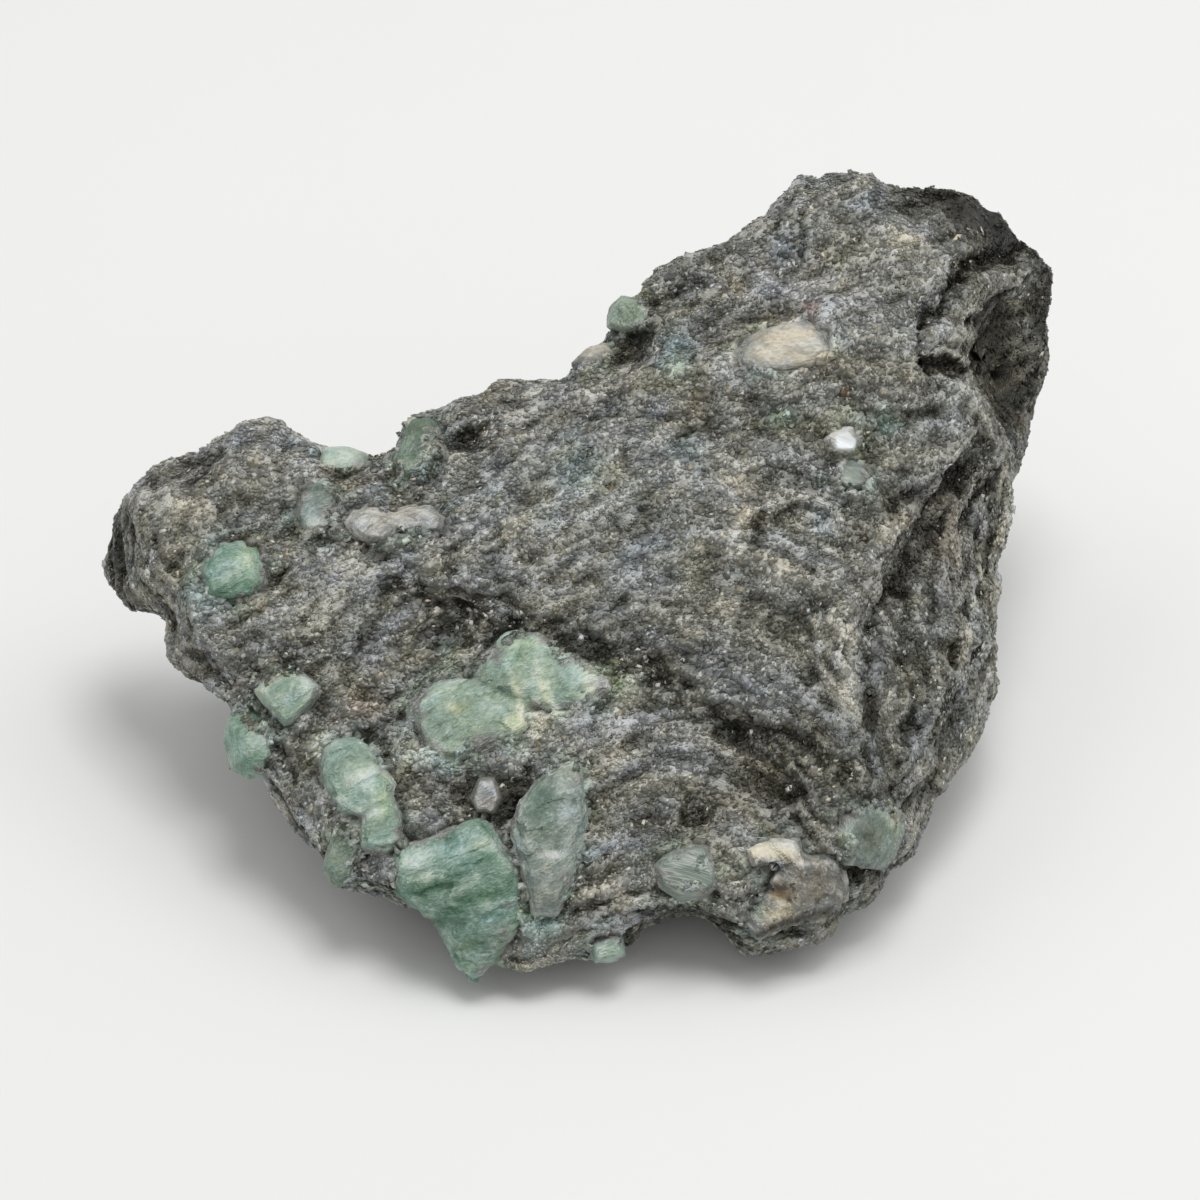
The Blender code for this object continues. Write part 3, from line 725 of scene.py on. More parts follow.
class NodeBench:
    """Builds a shader or a node group from short calls."""

    def __init__(self, tree: bpy.types.NodeTree) -> None:
        """Work on one node tree."""
        self.tree = tree

    def feed(self, node: bpy.types.Node, values: dict[str | int, object]) -> None:
        """Fill a node's inputs.

        Args:
            node: The node.
            values: Values or output sockets, by the input's name or number.
        """
        for name, value in values.items():
            socket = node.inputs[name]
            if isinstance(value, Socket):
                self.tree.links.new(value, socket)
            else:
                socket.default_value = value

    def add(self, kind: str, values: dict[str | int, object] | None = None,
            **settings: object) -> bpy.types.Node:
        """Add a node.

        Args:
            kind: Blender's type name of the node.
            values: Values or output sockets for its inputs, by socket name or number.
            settings: Values of its properties.

        Returns:
            The new node.
        """
        node = self.tree.nodes.new(kind)
        for name, value in settings.items():
            setattr(node, name, value)
        self.feed(node, values or {})
        return node

    def kept(self, what: Kept, output: str = "Fac") -> Socket:
        """Read what is kept at the mesh's points, as a number unless another output is named."""
        return self.add("ShaderNodeAttribute", attribute_name=what.value).outputs[output]

    def group(self, tree: bpy.types.NodeTree, **values: object) -> bpy.types.Node:
        """Place a node group, at the kept grain, with values for its other inputs."""
        place = self.kept(Kept.GRAIN, "Vector")
        return self.add("ShaderNodeGroup", {"Place": place, **values}, node_tree=tree)

    def noise(self, place: Socket, scale: object, **values: float) -> Socket:
        """A noise texture's value at a place."""
        given = {"Vector": place, "Scale": scale, **values}
        return self.add("ShaderNodeTexNoise", given).outputs["Fac"]

    def sum(self, operation: str, first: object, second: object, third: object = 0.0) -> Socket:
        """Work out one Math node, such as ADD or MULTIPLY."""
        node = self.add("ShaderNodeMath", {0: first, 1: second, 2: third}, operation=operation)
        return node.outputs[0]

    def blend(self, share: object, first: object, second: object, kind: str = "MIX") -> Socket:
        """Blend two colours.

        Args:
            share: How much of the second colour shows, from 0 to 1.
            first: The colour underneath.
            second: The colour laid over it.
            kind: Blender's name of the way they blend.

        Returns:
            The blended colour.
        """
        node = self.add("ShaderNodeMix", {0: share, 6: first, 7: second},
                        data_type="RGBA", blend_type=kind)
        return node.outputs[2]

    def tinted(self, colour: Socket) -> Socket:
        """A colour multiplied by the tint that is kept at the mesh's points."""
        return self.blend(1.0, colour, self.kept(Kept.TINT, "Color"), "MULTIPLY")

    def ramp(self, value: object, *stops: tuple[float, Triple]) -> Socket:
        """Turn a value into a colour.

        Args:
            value: Where on the ramp, from 0 to 1.
            stops: Each stop's place on the ramp and its colour.

        Returns:
            The colour.
        """
        node = self.add("ShaderNodeValToRGB", {0: value})
        band = node.color_ramp
        while len(band.elements) < len(stops):
            band.elements.new(0.5)
        for element, (place, colour) in zip(band.elements, stops):
            element.position = place
            element.color = (*colour, 1.0)
        return node.outputs[0]

    def spread(self, value: object, low: float, high: float, start: float = 0.0,
               end: float = 1.0) -> Socket:
        """Map a value that runs from low to high onto start to end, held at both."""
        node = self.add("ShaderNodeMapRange", {0: value, 1: low, 2: high, 3: start, 4: end})
        return node.outputs[0]

    def relief(self, grain: bpy.types.Node, depth: float) -> Socket:
        """The normal that a grain gives to a surface, by its depth in millimetres."""
        node = self.add("ShaderNodeBump", {"Height": grain.outputs["Height"], "Strength": 1.0,
                                           "Distance": depth * MM})
        return node.outputs[0]


def new_group(name: str, inputs: dict[str, float], outputs: tuple[str, ...],
              ) -> tuple[NodeBench, dict[str, Socket], bpy.types.Node]:
    """Start a node group with a Place input, number inputs and number outputs.

    Args:
        name: The group's name.
        inputs: Default of each number input, by name.
        outputs: Names of the number outputs.

    Returns:
        The bench to build it on, what it is given by name, and its output node.
    """
    tree = bpy.data.node_groups.new(name, "ShaderNodeTree")
    tree.interface.new_socket("Place", in_out="INPUT", socket_type="NodeSocketVector")
    for socket, default in inputs.items():
        made = tree.interface.new_socket(socket, in_out="INPUT", socket_type="NodeSocketFloat")
        made.default_value = default
    for socket in outputs:
        tree.interface.new_socket(socket, in_out="OUTPUT", socket_type="NodeSocketFloat")
    bench = NodeBench(tree)
    start = bench.add("NodeGroupInput")
    given = {socket: start.outputs[socket] for socket in ("Place", *inputs)}
    return bench, given, bench.add("NodeGroupOutput")


class GrainGroups:
    """The effects that the rock, the flakes and the crystals share.

    Their Place is in millimetres along the streaks, across them and through the layers.
    """

    THREAD_SCALE = 0.62
    THREAD_SHARPNESS = 9.0
    THREAD_HEIGHT = 0.25

    def __init__(self) -> None:
        """Build each group once."""
        self.mica_grain = self.make_mica_grain()
        self.cloud = self.make_cloud()

    def make_mica_grain(self) -> bpy.types.NodeTree:
        """Build threads that are drawn out along the streaks.

        Returns:
            The group, which gives a light value about 0 and a height.
        """
        bench, given, result = new_group(
            "mica_grain", {"Size": 0.3, "Draw": 4.0, "Contrast": 2.0, "Threads": 0.5},
            ("Light", "Height"))
        inverse = bench.sum("DIVIDE", 1.0, given["Draw"])
        squeeze = bench.add("ShaderNodeCombineXYZ", {0: inverse, 1: 1.0, 2: 1.0})
        drawn = bench.add("ShaderNodeVectorMath", {0: given["Place"], 1: squeeze.outputs[0]},
                          operation="MULTIPLY").outputs[0]
        scale = bench.sum("DIVIDE", 1.0, given["Size"])
        fine = bench.noise(drawn, scale, Detail=3.0, Roughness=0.6)
        wide = bench.sum("MULTIPLY", scale, self.THREAD_SCALE)
        thread = bench.noise(drawn, wide, Detail=1.0, Roughness=0.5)
        swing = bench.sum("ABSOLUTE", bench.sum("SUBTRACT", thread, 0.5), 0.0)
        crest = bench.sum("MULTIPLY_ADD", swing, -self.THREAD_SHARPNESS, 1.0)
        line = bench.sum("MAXIMUM", crest, 0.0)
        centred = bench.sum("SUBTRACT", fine, 0.5)
        light = bench.sum("MULTIPLY", centred, given["Contrast"])
        bright = bench.sum("MULTIPLY", line, given["Threads"])
        bench.feed(result, {
            "Light": bench.sum("ADD", light, bright),
            "Height": bench.sum("MULTIPLY_ADD", line, self.THREAD_HEIGHT, fine)})
        return bench.tree

    def make_cloud(self) -> bpy.types.NodeTree:
        """Build soft uneven patches.

        Returns:
            The group, which gives a value about 0.
        """
        bench, given, result = new_group("cloud", {"Size": 3.0, "Contrast": 2.0}, ("Value",))
        scale = bench.sum("DIVIDE", 1.0, given["Size"])
        soft = bench.noise(given["Place"], scale, Detail=4.0, Roughness=0.6, Distortion=0.5)
        centred = bench.sum("SUBTRACT", soft, 0.5)
        bench.feed(result, {"Value": bench.sum("MULTIPLY", centred, given["Contrast"])})
        return bench.tree


def new_material(name: str) -> tuple[bpy.types.Material, NodeBench, bpy.types.Node]:
    """Start a material with its shader.

    Args:
        name: The material's name.

    Returns:
        The material, the bench of its nodes and its Principled shader.
    """
    material = bpy.data.materials.new(name)
    material.use_nodes = True
    return material, NodeBench(material.node_tree), material.node_tree.nodes["Principled BSDF"]


@dataclass(frozen=True)
class SchistFinish:
    """The rock: dark mica, grey threads and pale specks, with painted shade where it is hollow.
    """

    darkest: Triple = (0.016, 0.015, 0.010)
    dark: Triple = (0.062, 0.060, 0.047)
    middle: Triple = (0.185, 0.189, 0.170)
    light: Triple = (0.395, 0.402, 0.382)
    lightest: Triple = (0.680, 0.685, 0.660)
    grain_size: float = 0.24
    grain_draw: float = 2.0
    grain_strength: float = 0.27
    # Painted shade: how much darker the rock is where its surface is hollow.
    hollow_darkening: float = 0.22
    roughness: tuple[float, float] = (0.62, 0.34)
    gloss: float = 0.55
    bump: float = 0.22

    def ramp(self, bench: NodeBench, tone: Socket) -> Socket:
        """The rock's colour for a tone from 0, darkest, to 1, lightest."""
        return bench.ramp(tone, (0.0, self.darkest), (0.25, self.dark), (0.5, self.middle),
                          (0.75, self.light), (1.0, self.lightest))

    def material(self, groups: GrainGroups) -> bpy.types.Material:
        """Build the rock's material.

        Args:
            groups: The shared effects.

        Returns:
            The material.
        """
        material, bench, shader = new_material("mica_schist")
        grain = bench.group(groups.mica_grain, Size=self.grain_size, Draw=self.grain_draw)
        light = grain.outputs["Light"]
        specked = bench.sum("MULTIPLY_ADD", light, self.grain_strength, bench.kept(Kept.TONE))
        # Painted shade in the hollows of the surface.
        shaded = bench.sum("MULTIPLY_ADD", bench.kept(Kept.HOLLOW), -self.hollow_darkening,
                           specked)
        bench.feed(shader, {
            "Base Color": bench.tinted(self.ramp(bench, shaded)),
            "Roughness": bench.spread(light, -0.5, 0.7, *self.roughness),
            "Normal": bench.relief(grain, self.bump),
            "Specular IOR Level": self.gloss})
        return material


@dataclass(frozen=True)
class FlakeFinish:
    """Mica flakes: each has its own tone, and a gloss that catches the light."""

    grain_size: float = 0.12
    grain_strength: float = 0.08
    roughness: tuple[float, float] = (0.42, 0.24)
    gloss: float = 0.8

    def material(self, groups: GrainGroups, rock: SchistFinish) -> bpy.types.Material:
        """Build the flakes' material on the rock's own range of colours.

        Args:
            groups: The shared effects.
            rock: The finish of the rock that they lie on.

        Returns:
            The material.
        """
        material, bench, shader = new_material("mica_flake")
        light = bench.group(groups.mica_grain, Size=self.grain_size).outputs["Light"]
        specked = bench.sum("MULTIPLY_ADD", light, self.grain_strength, bench.kept(Kept.TONE))
        bench.feed(shader, {
            "Base Color": bench.tinted(rock.ramp(bench, specked)),
            "Roughness": bench.spread(light, -0.5, 0.5, *self.roughness),
            "Specular IOR Level": self.gloss})
        return material


@dataclass(frozen=True)
class CrystalFinish:
    """A cloudy mineral: a middle colour with pale clouds and deep veins along the streaks.

    A crust of the rock's own mica covers it in patches.
    """

    name: str
    middle: Triple
    pale: Triple
    deep: Triple
    cloud_size: float = 1.8
    cloud_contrast: float = 2.4
    cloud_strength: float = 0.5
    grain_size: float = 0.22
    grain_draw: float = 2.4
    grain_strength: float = 0.30
    crust_speckle: float = 0.7
    crust_edge: tuple[float, float] = (0.45, 0.70)
    mica_tone: float = 0.20
    mica_contrast: float = 0.6
    mica_speckle: float = 0.4
    roughness: tuple[float, float] = (0.5, 0.24)
    translucency: float = 0.0
    translucent_reach: Triple = (0.8, 1.0, 0.9)
    bump: float = 0.12

    @property
    def fleck(self) -> Triple:
        """The colour of the brightest flecks."""
        return tuple(min(1.0, 0.5 * part + 0.38) for part in self.pale)

    def crusted(self, bench: NodeBench, colour: Socket, light: Socket, tone: Socket) -> Socket:
        """Lay the crust of mica over the mineral.

        Args:
            bench: Where the material is built.
            colour: The mineral's colour.
            light: The grain's light value.
            tone: The tone kept at the mesh's points.

        Returns:
            The colour with its crust.
        """
        speckled = bench.sum("MULTIPLY_ADD", light, self.crust_speckle, bench.kept(Kept.CRUST))
        cover = bench.spread(speckled, *self.crust_edge)
        mica = bench.sum("MULTIPLY_ADD", tone, self.mica_contrast, self.mica_tone)
        mica = bench.sum("MULTIPLY_ADD", light, self.mica_speckle, mica)
        return bench.blend(cover, colour, SchistFinish().ramp(bench, mica))

    def material(self, groups: GrainGroups) -> bpy.types.Material:
        """Build the mineral's material.

        Args:
            groups: The shared effects.

        Returns:
            The material.
        """
        material, bench, shader = new_material(self.name)
        cloud = bench.group(groups.cloud, Size=self.cloud_size, Contrast=self.cloud_contrast)
        grain = bench.group(groups.mica_grain, Size=self.grain_size, Draw=self.grain_draw)
        light = grain.outputs["Light"]
        tone = bench.kept(Kept.TONE)
        value = bench.sum("MULTIPLY_ADD", cloud.outputs["Value"], self.cloud_strength, tone)
        value = bench.sum("MULTIPLY_ADD", light, self.grain_strength, value)
        colour = bench.tinted(bench.ramp(value, (0.0, self.deep), (0.42, self.middle),
                                         (0.80, self.pale), (1.0, self.fleck)))
        bench.feed(shader, {
            "Base Color": self.crusted(bench, colour, light, tone),
            "Roughness": bench.spread(light, -0.5, 0.7, *self.roughness),
            "Normal": bench.relief(grain, self.bump),
            "Subsurface Weight": self.translucency,
            "Subsurface Radius": self.translucent_reach,
            "Subsurface Scale": MM})
        return material


class Mineral(Enum):
    """The minerals in the rock, each by its finish."""

    BERYL = CrystalFinish("beryl", (0.170, 0.278, 0.210), (0.43, 0.545, 0.475),
                          (0.050, 0.135, 0.082), translucency=0.15)
    PALE_BERYL = CrystalFinish("pale_beryl", (0.275, 0.378, 0.298), (0.55, 0.63, 0.555),
                               (0.12, 0.18, 0.135), translucency=0.15)
    GREY_BERYL = CrystalFinish("grey_beryl", (0.195, 0.245, 0.21), (0.44, 0.49, 0.45),
                               (0.08, 0.12, 0.095), translucency=0.15)
    DARK_BERYL = CrystalFinish("dark_beryl", (0.13, 0.185, 0.135), (0.34, 0.42, 0.34),
                               (0.04, 0.08, 0.05), translucency=0.1)
    QUARTZ = CrystalFinish("quartz", (0.24, 0.24, 0.22), (0.66, 0.65, 0.60),
                           (0.06, 0.055, 0.045), roughness=(0.4, 0.15), translucency=0.15)
    WHITE_QUARTZ = CrystalFinish("white_quartz", (0.55, 0.55, 0.52), (0.80, 0.80, 0.77),
                                 (0.30, 0.29, 0.26), grain_strength=0.14,
                                 roughness=(0.45, 0.3), translucency=0.3, bump=0.04)
    FELDSPAR = CrystalFinish("feldspar", (0.36, 0.34, 0.28), (0.64, 0.61, 0.52),
                             (0.16, 0.15, 0.12), roughness=(0.7, 0.4))


class Palette:
    """Every material, built once."""

    def __init__(self) -> None:
        """Build the shared groups and the rock's own materials."""
        self.groups = GrainGroups()
        self.minerals: dict[Mineral, bpy.types.Material] = {}
        self.rock = SchistFinish().material(self.groups)
        self.flake = FlakeFinish().material(self.groups, SchistFinish())

    def mineral(self, kind: Mineral) -> bpy.types.Material:
        """Give a mineral's material, and build it where it is the first of its kind.

        Args:
            kind: The mineral.

        Returns:
            The material.
        """
        if kind not in self.minerals:
            self.minerals[kind] = kind.value.material(self.groups)
        return self.minerals[kind]


@dataclass(frozen=True)
class CrystalLook:
    """How one crystal or grain differs from others of its mineral.

    The rim is how much of its edge the rock covers, and the relief how deeply it is broken.
    """

    mineral: Mineral
    tone: float = 0.5
    marks: Marks = ()
    tints: tuple[Tint, ...] = ()
    rim: float = 1.0
    crust: float = 0.0
    relief: float = 1.0


class CrystalSurface:
    """All finished crystals as one surface that knows which crystal each face is of."""

    def __init__(self) -> None:
        """Start with no crystals."""
        self.corners: list[Vector] = []
        self.faces: list[tuple[int, ...]] = []
        self.ends: list[int] = []
        self.rims: list[float] = []

    def add(self, piece: bpy.types.Object, rim: float) -> None:
        """Add a crystal.

        Args:
            piece: The finished crystal.
            rim: How much of its edge the rock covers.
        """
        first = len(self.corners)
        for face in piece.data.polygons:
            self.faces.append(tuple(index + first for index in face.vertices))
        self.corners += [Vector(point) for point in points_of(piece)]
        self.ends.append(len(self.faces))
        self.rims.append(rim)

    def close(self) -> None:
        """Make the surface ready to be asked."""
        self.tree = BVHTree.FromPolygons(self.corners, self.faces)

    def rim_at(self, face: int) -> float:
        """How much of its edge the rock covers, for the crystal that a face is of."""
        return self.rims[int(np.searchsorted(self.ends, face, side="right"))]


@dataclass(frozen=True)
class Crystal:
    """A worn and broken copy of one packed crystal or grain.

    Heights and lengths are in millimetres.
    """

    node: str
    look: CrystalLook
    seed: int
    fill: float = 0.22
    cell: float = 0.19
    facet_size: Triple = (4.0, 1.6, 1.6)
    facet_height: float = 0.15
    thread_size: Triple = (1.5, 0.7, 0.7)
    thread_height: float = 0.12
    nick_depth: float = 0.38
    nick_share: float = 0.45
    # Painted light and shade by break height.
    height_tone: float = 0.5
    crust_patches: Pattern = Pattern(41, size=1.7, layers=3, strength=0.65)
    crust_rim: float = 0.55
    crust_reach: float = 1.1
    warm: Pattern = Pattern(42, (2.4, 1.2, 1.2), layers=4, strength=0.07)
    warm_colour: Triple = (1.0, 0.1, -1.1)

    def build(self, palette: Palette, solid: BVHTree) -> bpy.types.Object:
        """Mesh, break and dress the crystal.

        Args:
            palette: The materials.
            solid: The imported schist's surface.

        Returns:
            The piece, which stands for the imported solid.
        """
        piece = copy_solid(self.node, f"{self.node}_crystal")
        swell(piece, self.fill)
        apply_modifier(piece, "REMESH", mode="VOXEL", voxel_size=self.cell * MM)
        apply_modifier(piece, "SMOOTH", factor=0.5, iterations=1)
        points = points_of(piece)
        height = self.breaks(points)
        place_points(piece, points + height[:, None] * normals_of(piece))
        self.dress(piece, height, solid)
        piece.data.materials.append(palette.mineral(self.look.mineral))
        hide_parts(self.node)
        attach(piece, "root")
        return piece

    def breaks(self, points: np.ndarray) -> np.ndarray:
        """Find how far facets, threads and nicks lift or sink the crystal's surface.

        Args:
            points: Places in millimetres.

        Returns:
            A height for each place, less on a small crystal.
        """
        grain = ROCK.grain(points)
        steps = BrokenFacets(self.seed).at(grain / self.facet_size)
        threads = Pattern(self.seed + 1, self.thread_size, layers=3).at(grain)
        chips = Pattern(self.seed + 2, self.thread_size).at(grain)
        nicks = np.minimum(0.0, chips + self.nick_share)
        bulk = np.clip((np.median(np.ptp(points, axis=0)) - 3.0) / 5.0, 0.1, 1.0)
        return self.look.relief * bulk * (self.facet_height * steps
                                          + self.thread_height * threads
                                          + self.nick_depth * nicks)

    def dress(self, piece: bpy.types.Object, height: np.ndarray, solid: BVHTree) -> None:
        """Keep the crystal's tone, crust, tint and grain at every point.

        Args:
            piece: The broken crystal.
            height: How far its surface was lifted at each point.
            solid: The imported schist's surface.
        """
        points = points_of(piece)
        normals = normals_of(piece)
        grain = ROCK.grain(points)
        # Painted light and shade from the breaks: raised facets lighter, sunk nicks darker.
        tone = self.look.tone + self.height_tone * height
        tone += marks_at(self.look.marks, points, normals)[0]
        set_values(piece, Kept.TONE, tone)
        inset = np.array([solid.find_nearest(Vector(point))[3] for point in points])
        crust = self.look.crust + self.crust_patches.at(points)
        crust += self.crust_rim * (1.0 - inset / self.crust_reach)
        set_values(piece, Kept.CRUST, np.clip(crust, 0.0, 1.0))
        tint = tint_at(self.look.tints, points, normals)
        tint += self.warm.at(grain)[:, None] * self.warm_colour
        set_colours(piece, Kept.TINT, tint)
        set_vectors(piece, Kept.GRAIN, grain)


# How each crystal and grain looks. Its marks and tints are rows as for the rock, below.
LOOKS = {
    "emerald_large": CrystalLook(
        Mineral.BERYL, tone=0.45, rim=0.35, crust=-0.05, marks=marks(
            (422, 858, 32, 14, 10, 0.26), (482, 842, 16, 9, 0, 0.24), (537, 920, 14, 20, 0, 0.30),
            (458, 830, 24, 10, 10, -0.12), (((405, 893), (450, 880), (490, 858)), 8, -0.36),
            (((440, 915), (475, 900), (515, 880)), 8, -0.34), (500, 945, 22, 26, 0, -0.06),
            (455, 925, 20, 16, 0, -0.12)),
        tints=tints(
            (500, 945, 18, 24, (1.08, 0.96, 0.98)), (440, 850, 36, 18, (0.96, 0.99, 1.04)))),
    "emerald_bright": CrystalLook(
        Mineral.PALE_BERYL, tone=0.42, rim=0.45, crust=-0.05, marks=marks(
            (362, 775, 20, 14, 0, 0.28), (384, 798, 14, 14, 0, 0.16),
            (350, 750, 16, 12, 0, -0.12), (380, 830, 20, 18, 0, -0.18),
            (((340, 800), (360, 818), (384, 812)), 4, 0.22)),
        tints=tints(
            (385, 798, 10, 18, (1.02, 1.04, 0.86)))),
    "emerald_edge": CrystalLook(Mineral.DARK_BERYL),
    "emerald_arm": CrystalLook(
        Mineral.BERYL, tone=0.42, rim=0.3, crust=-0.1, marks=marks(
            (230, 592, 26, 12, 0, -0.28), (250, 560, 14, 16, 0, 0.24),
            (225, 562, 16, 14, 0, 0.12)),
        tints=tints(
            (250, 560, 12, 18, (1.04, 1.02, 0.86)))),
    "emerald_pale": CrystalLook(
        Mineral.PALE_BERYL, tone=0.42, marks=marks(
            (308, 688, 10, 12, 0, 0.22), (270, 690, 14, 12, 0, 0.10))),
    "emerald_corner": CrystalLook(
        Mineral.BERYL, rim=0.8, marks=marks(
            (262, 740, 14, 10, 0, 0.2))),
    "emerald_middle": CrystalLook(
        Mineral.PALE_BERYL, tone=0.40, rim=1.2, crust=0.22, marks=marks(
            (((509, 662), (515, 682), (518, 700), (516, 716)), 4, 0.30),
            (((537, 664), (544, 686), (550, 700), (556, 716)), 4, 0.30),
            (520, 643, 18, 12, 0, 0.20), (592, 684, 16, 20, 0, 0.42), (608, 682, 14, 12, 0, 0.25),
            (538, 714, 18, 10, 0, 0.34), (488, 678, 16, 14, 0, -0.16),
            (557, 683, 10, 20, 0, -0.16), (507, 690, 8, 6, 0, -0.45), (434, 750, 10, 11, 0, 0.50),
            (454, 709, 7, 6, 0, 0.45), (446, 684, 18, 9, 0, 0.20), (518, 726, 15, 11, 0, 0.30),
            (475, 730, 30, 12, 0, -0.10)),
        tints=tints(
            (520, 643, 18, 14, (1.03, 1.04, 0.86)), (592, 684, 12, 20, (1.02, 1.03, 0.90)),
            (517, 694, 6, 18, (1.08, 1.01, 0.90)), (548, 694, 6, 20, (1.05, 1.02, 0.86)),
            (454, 709, 8, 7, (1.14, 1.00, 0.80)), (518, 726, 15, 11, (1.06, 1.02, 0.82)),
            (434, 750, 14, 12, (1.02, 0.99, 1.04)))),
    "emerald_round": CrystalLook(
        Mineral.GREY_BERYL, tone=0.42, rim=0.6, crust=0.06, marks=marks(
            (541, 806, 13, 20, 0, -0.26), (567, 775, 13, 13, 0, 0.22),
            (((516, 820), (517, 800), (526, 785)), 4, 0.26), (572, 800, 7, 14, 0, 0.22),
            # The small spot at 550 across, 853 down is a painted glint, made lightest.
            (550, 853, 9, 5, 0, 0.60), (568, 835, 10, 16, 0, 0.14), (550, 885, 26, 26, 0, -0.06),
            (540, 922, 16, 18, 0, 0.30)),
        tints=tints(
            (541, 806, 14, 22, (0.92, 1.04, 0.96)), (550, 895, 30, 30, (1.05, 0.98, 0.98)))),
    "emerald_streaky": CrystalLook(
        Mineral.GREY_BERYL, tone=0.45, rim=2.0, crust=0.36, relief=0.3, marks=marks(
            (690, 862, 26, 5, 10, 0.2), (680, 885, 26, 5, 10, 0.12))),
    "emerald_right": CrystalLook(
        Mineral.GREY_BERYL, tone=0.37, rim=1.5, crust=0.20, marks=marks(
            (893, 820, 10, 16, 0, 0.30), (845, 832, 10, 10, 0, 0.2), (868, 830, 14, 12, 0, -0.2)),
        tints=tints(
            (893, 820, 10, 16, (1.04, 1.03, 0.86)), (868, 832, 12, 12, (1.12, 0.95, 0.86)))),
    "emerald_notch": CrystalLook(
        Mineral.DARK_BERYL, tone=0.36, rim=0.8, marks=marks(
            (410, 466, 14, 9, 0, 0.25), (420, 428, 12, 10, 0, -0.1))),
    "emerald_top": CrystalLook(Mineral.DARK_BERYL, tone=0.6, rim=0.5),
    "emerald_small": CrystalLook(Mineral.GREY_BERYL, tone=0.26, rim=0.8, crust=0.25),
    "emerald_bars": CrystalLook(
        Mineral.GREY_BERYL, rim=0.8, crust=0.1, marks=marks(
            (318, 490, 24, 6, 0, -0.6), (318, 520, 22, 6, 0, 0.2))),
    "emerald_behind": CrystalLook(Mineral.PALE_BERYL, rim=0.3),
    "emerald_foot": CrystalLook(Mineral.PALE_BERYL, tone=0.4, rim=0.2),
    "emerald_rear_high": CrystalLook(Mineral.BERYL),
    "emerald_rear_low": CrystalLook(Mineral.PALE_BERYL, tone=0.45),
    "emerald_rear_arm": CrystalLook(Mineral.BERYL),
    "emerald_side": CrystalLook(Mineral.GREY_BERYL),
    "emerald_under": CrystalLook(Mineral.BERYL),
    "quartz_block": CrystalLook(
        Mineral.QUARTZ, tone=0.34, rim=0.15, crust=-0.25, marks=marks(
            (((752, 853), (775, 850), (794, 848)), 8, 0.50),
            (((756, 868), (768, 876), (776, 874)), 5, 0.35),
            (((762, 886), (774, 884), (784, 886)), 4, -0.55),
            (((800, 864), (818, 862), (836, 866)), 5, 0.25),
            (((758, 934), (790, 918), (835, 904)), 3, -0.45), (775, 912, 22, 12, 20, 0.30),
            (815, 885, 18, 14, 20, -0.04)),
        tints=tints(
            (773, 851, 26, 9, (1.05, 1.00, 0.84)), (780, 893, 11, 6, (1.25, 0.95, 0.55)),
            (775, 914, 28, 14, (1.06, 1.00, 0.84)), (815, 885, 22, 16, (1.05, 0.98, 0.88)),
            (750, 908, 8, 9, (0.85, 1.03, 0.98)))),
    "quartz_pebble": CrystalLook(Mineral.QUARTZ, tone=0.52, rim=0.7, crust=-0.05),
    "quartz_wedge": CrystalLook(Mineral.QUARTZ, tone=0.42, rim=0.5, crust=0.12),
    "quartz_grain": CrystalLook(Mineral.WHITE_QUARTZ, tone=0.6, rim=0.9, crust=0.05),
    "quartz_rear": CrystalLook(Mineral.QUARTZ, tone=0.6, rim=2.2),
    "feldspar_patch": CrystalLook(
        Mineral.FELDSPAR, rim=0.8, crust=0.18, marks=marks(
            (800, 340, 20, 14, 0, 0.1)),
        tints=tints(
            (810, 312, 12, 8, (1.12, 0.9, 0.84)))),
    "feldspar_edge": CrystalLook(Mineral.FELDSPAR, tone=0.4, rim=0.8, crust=0.1),
}
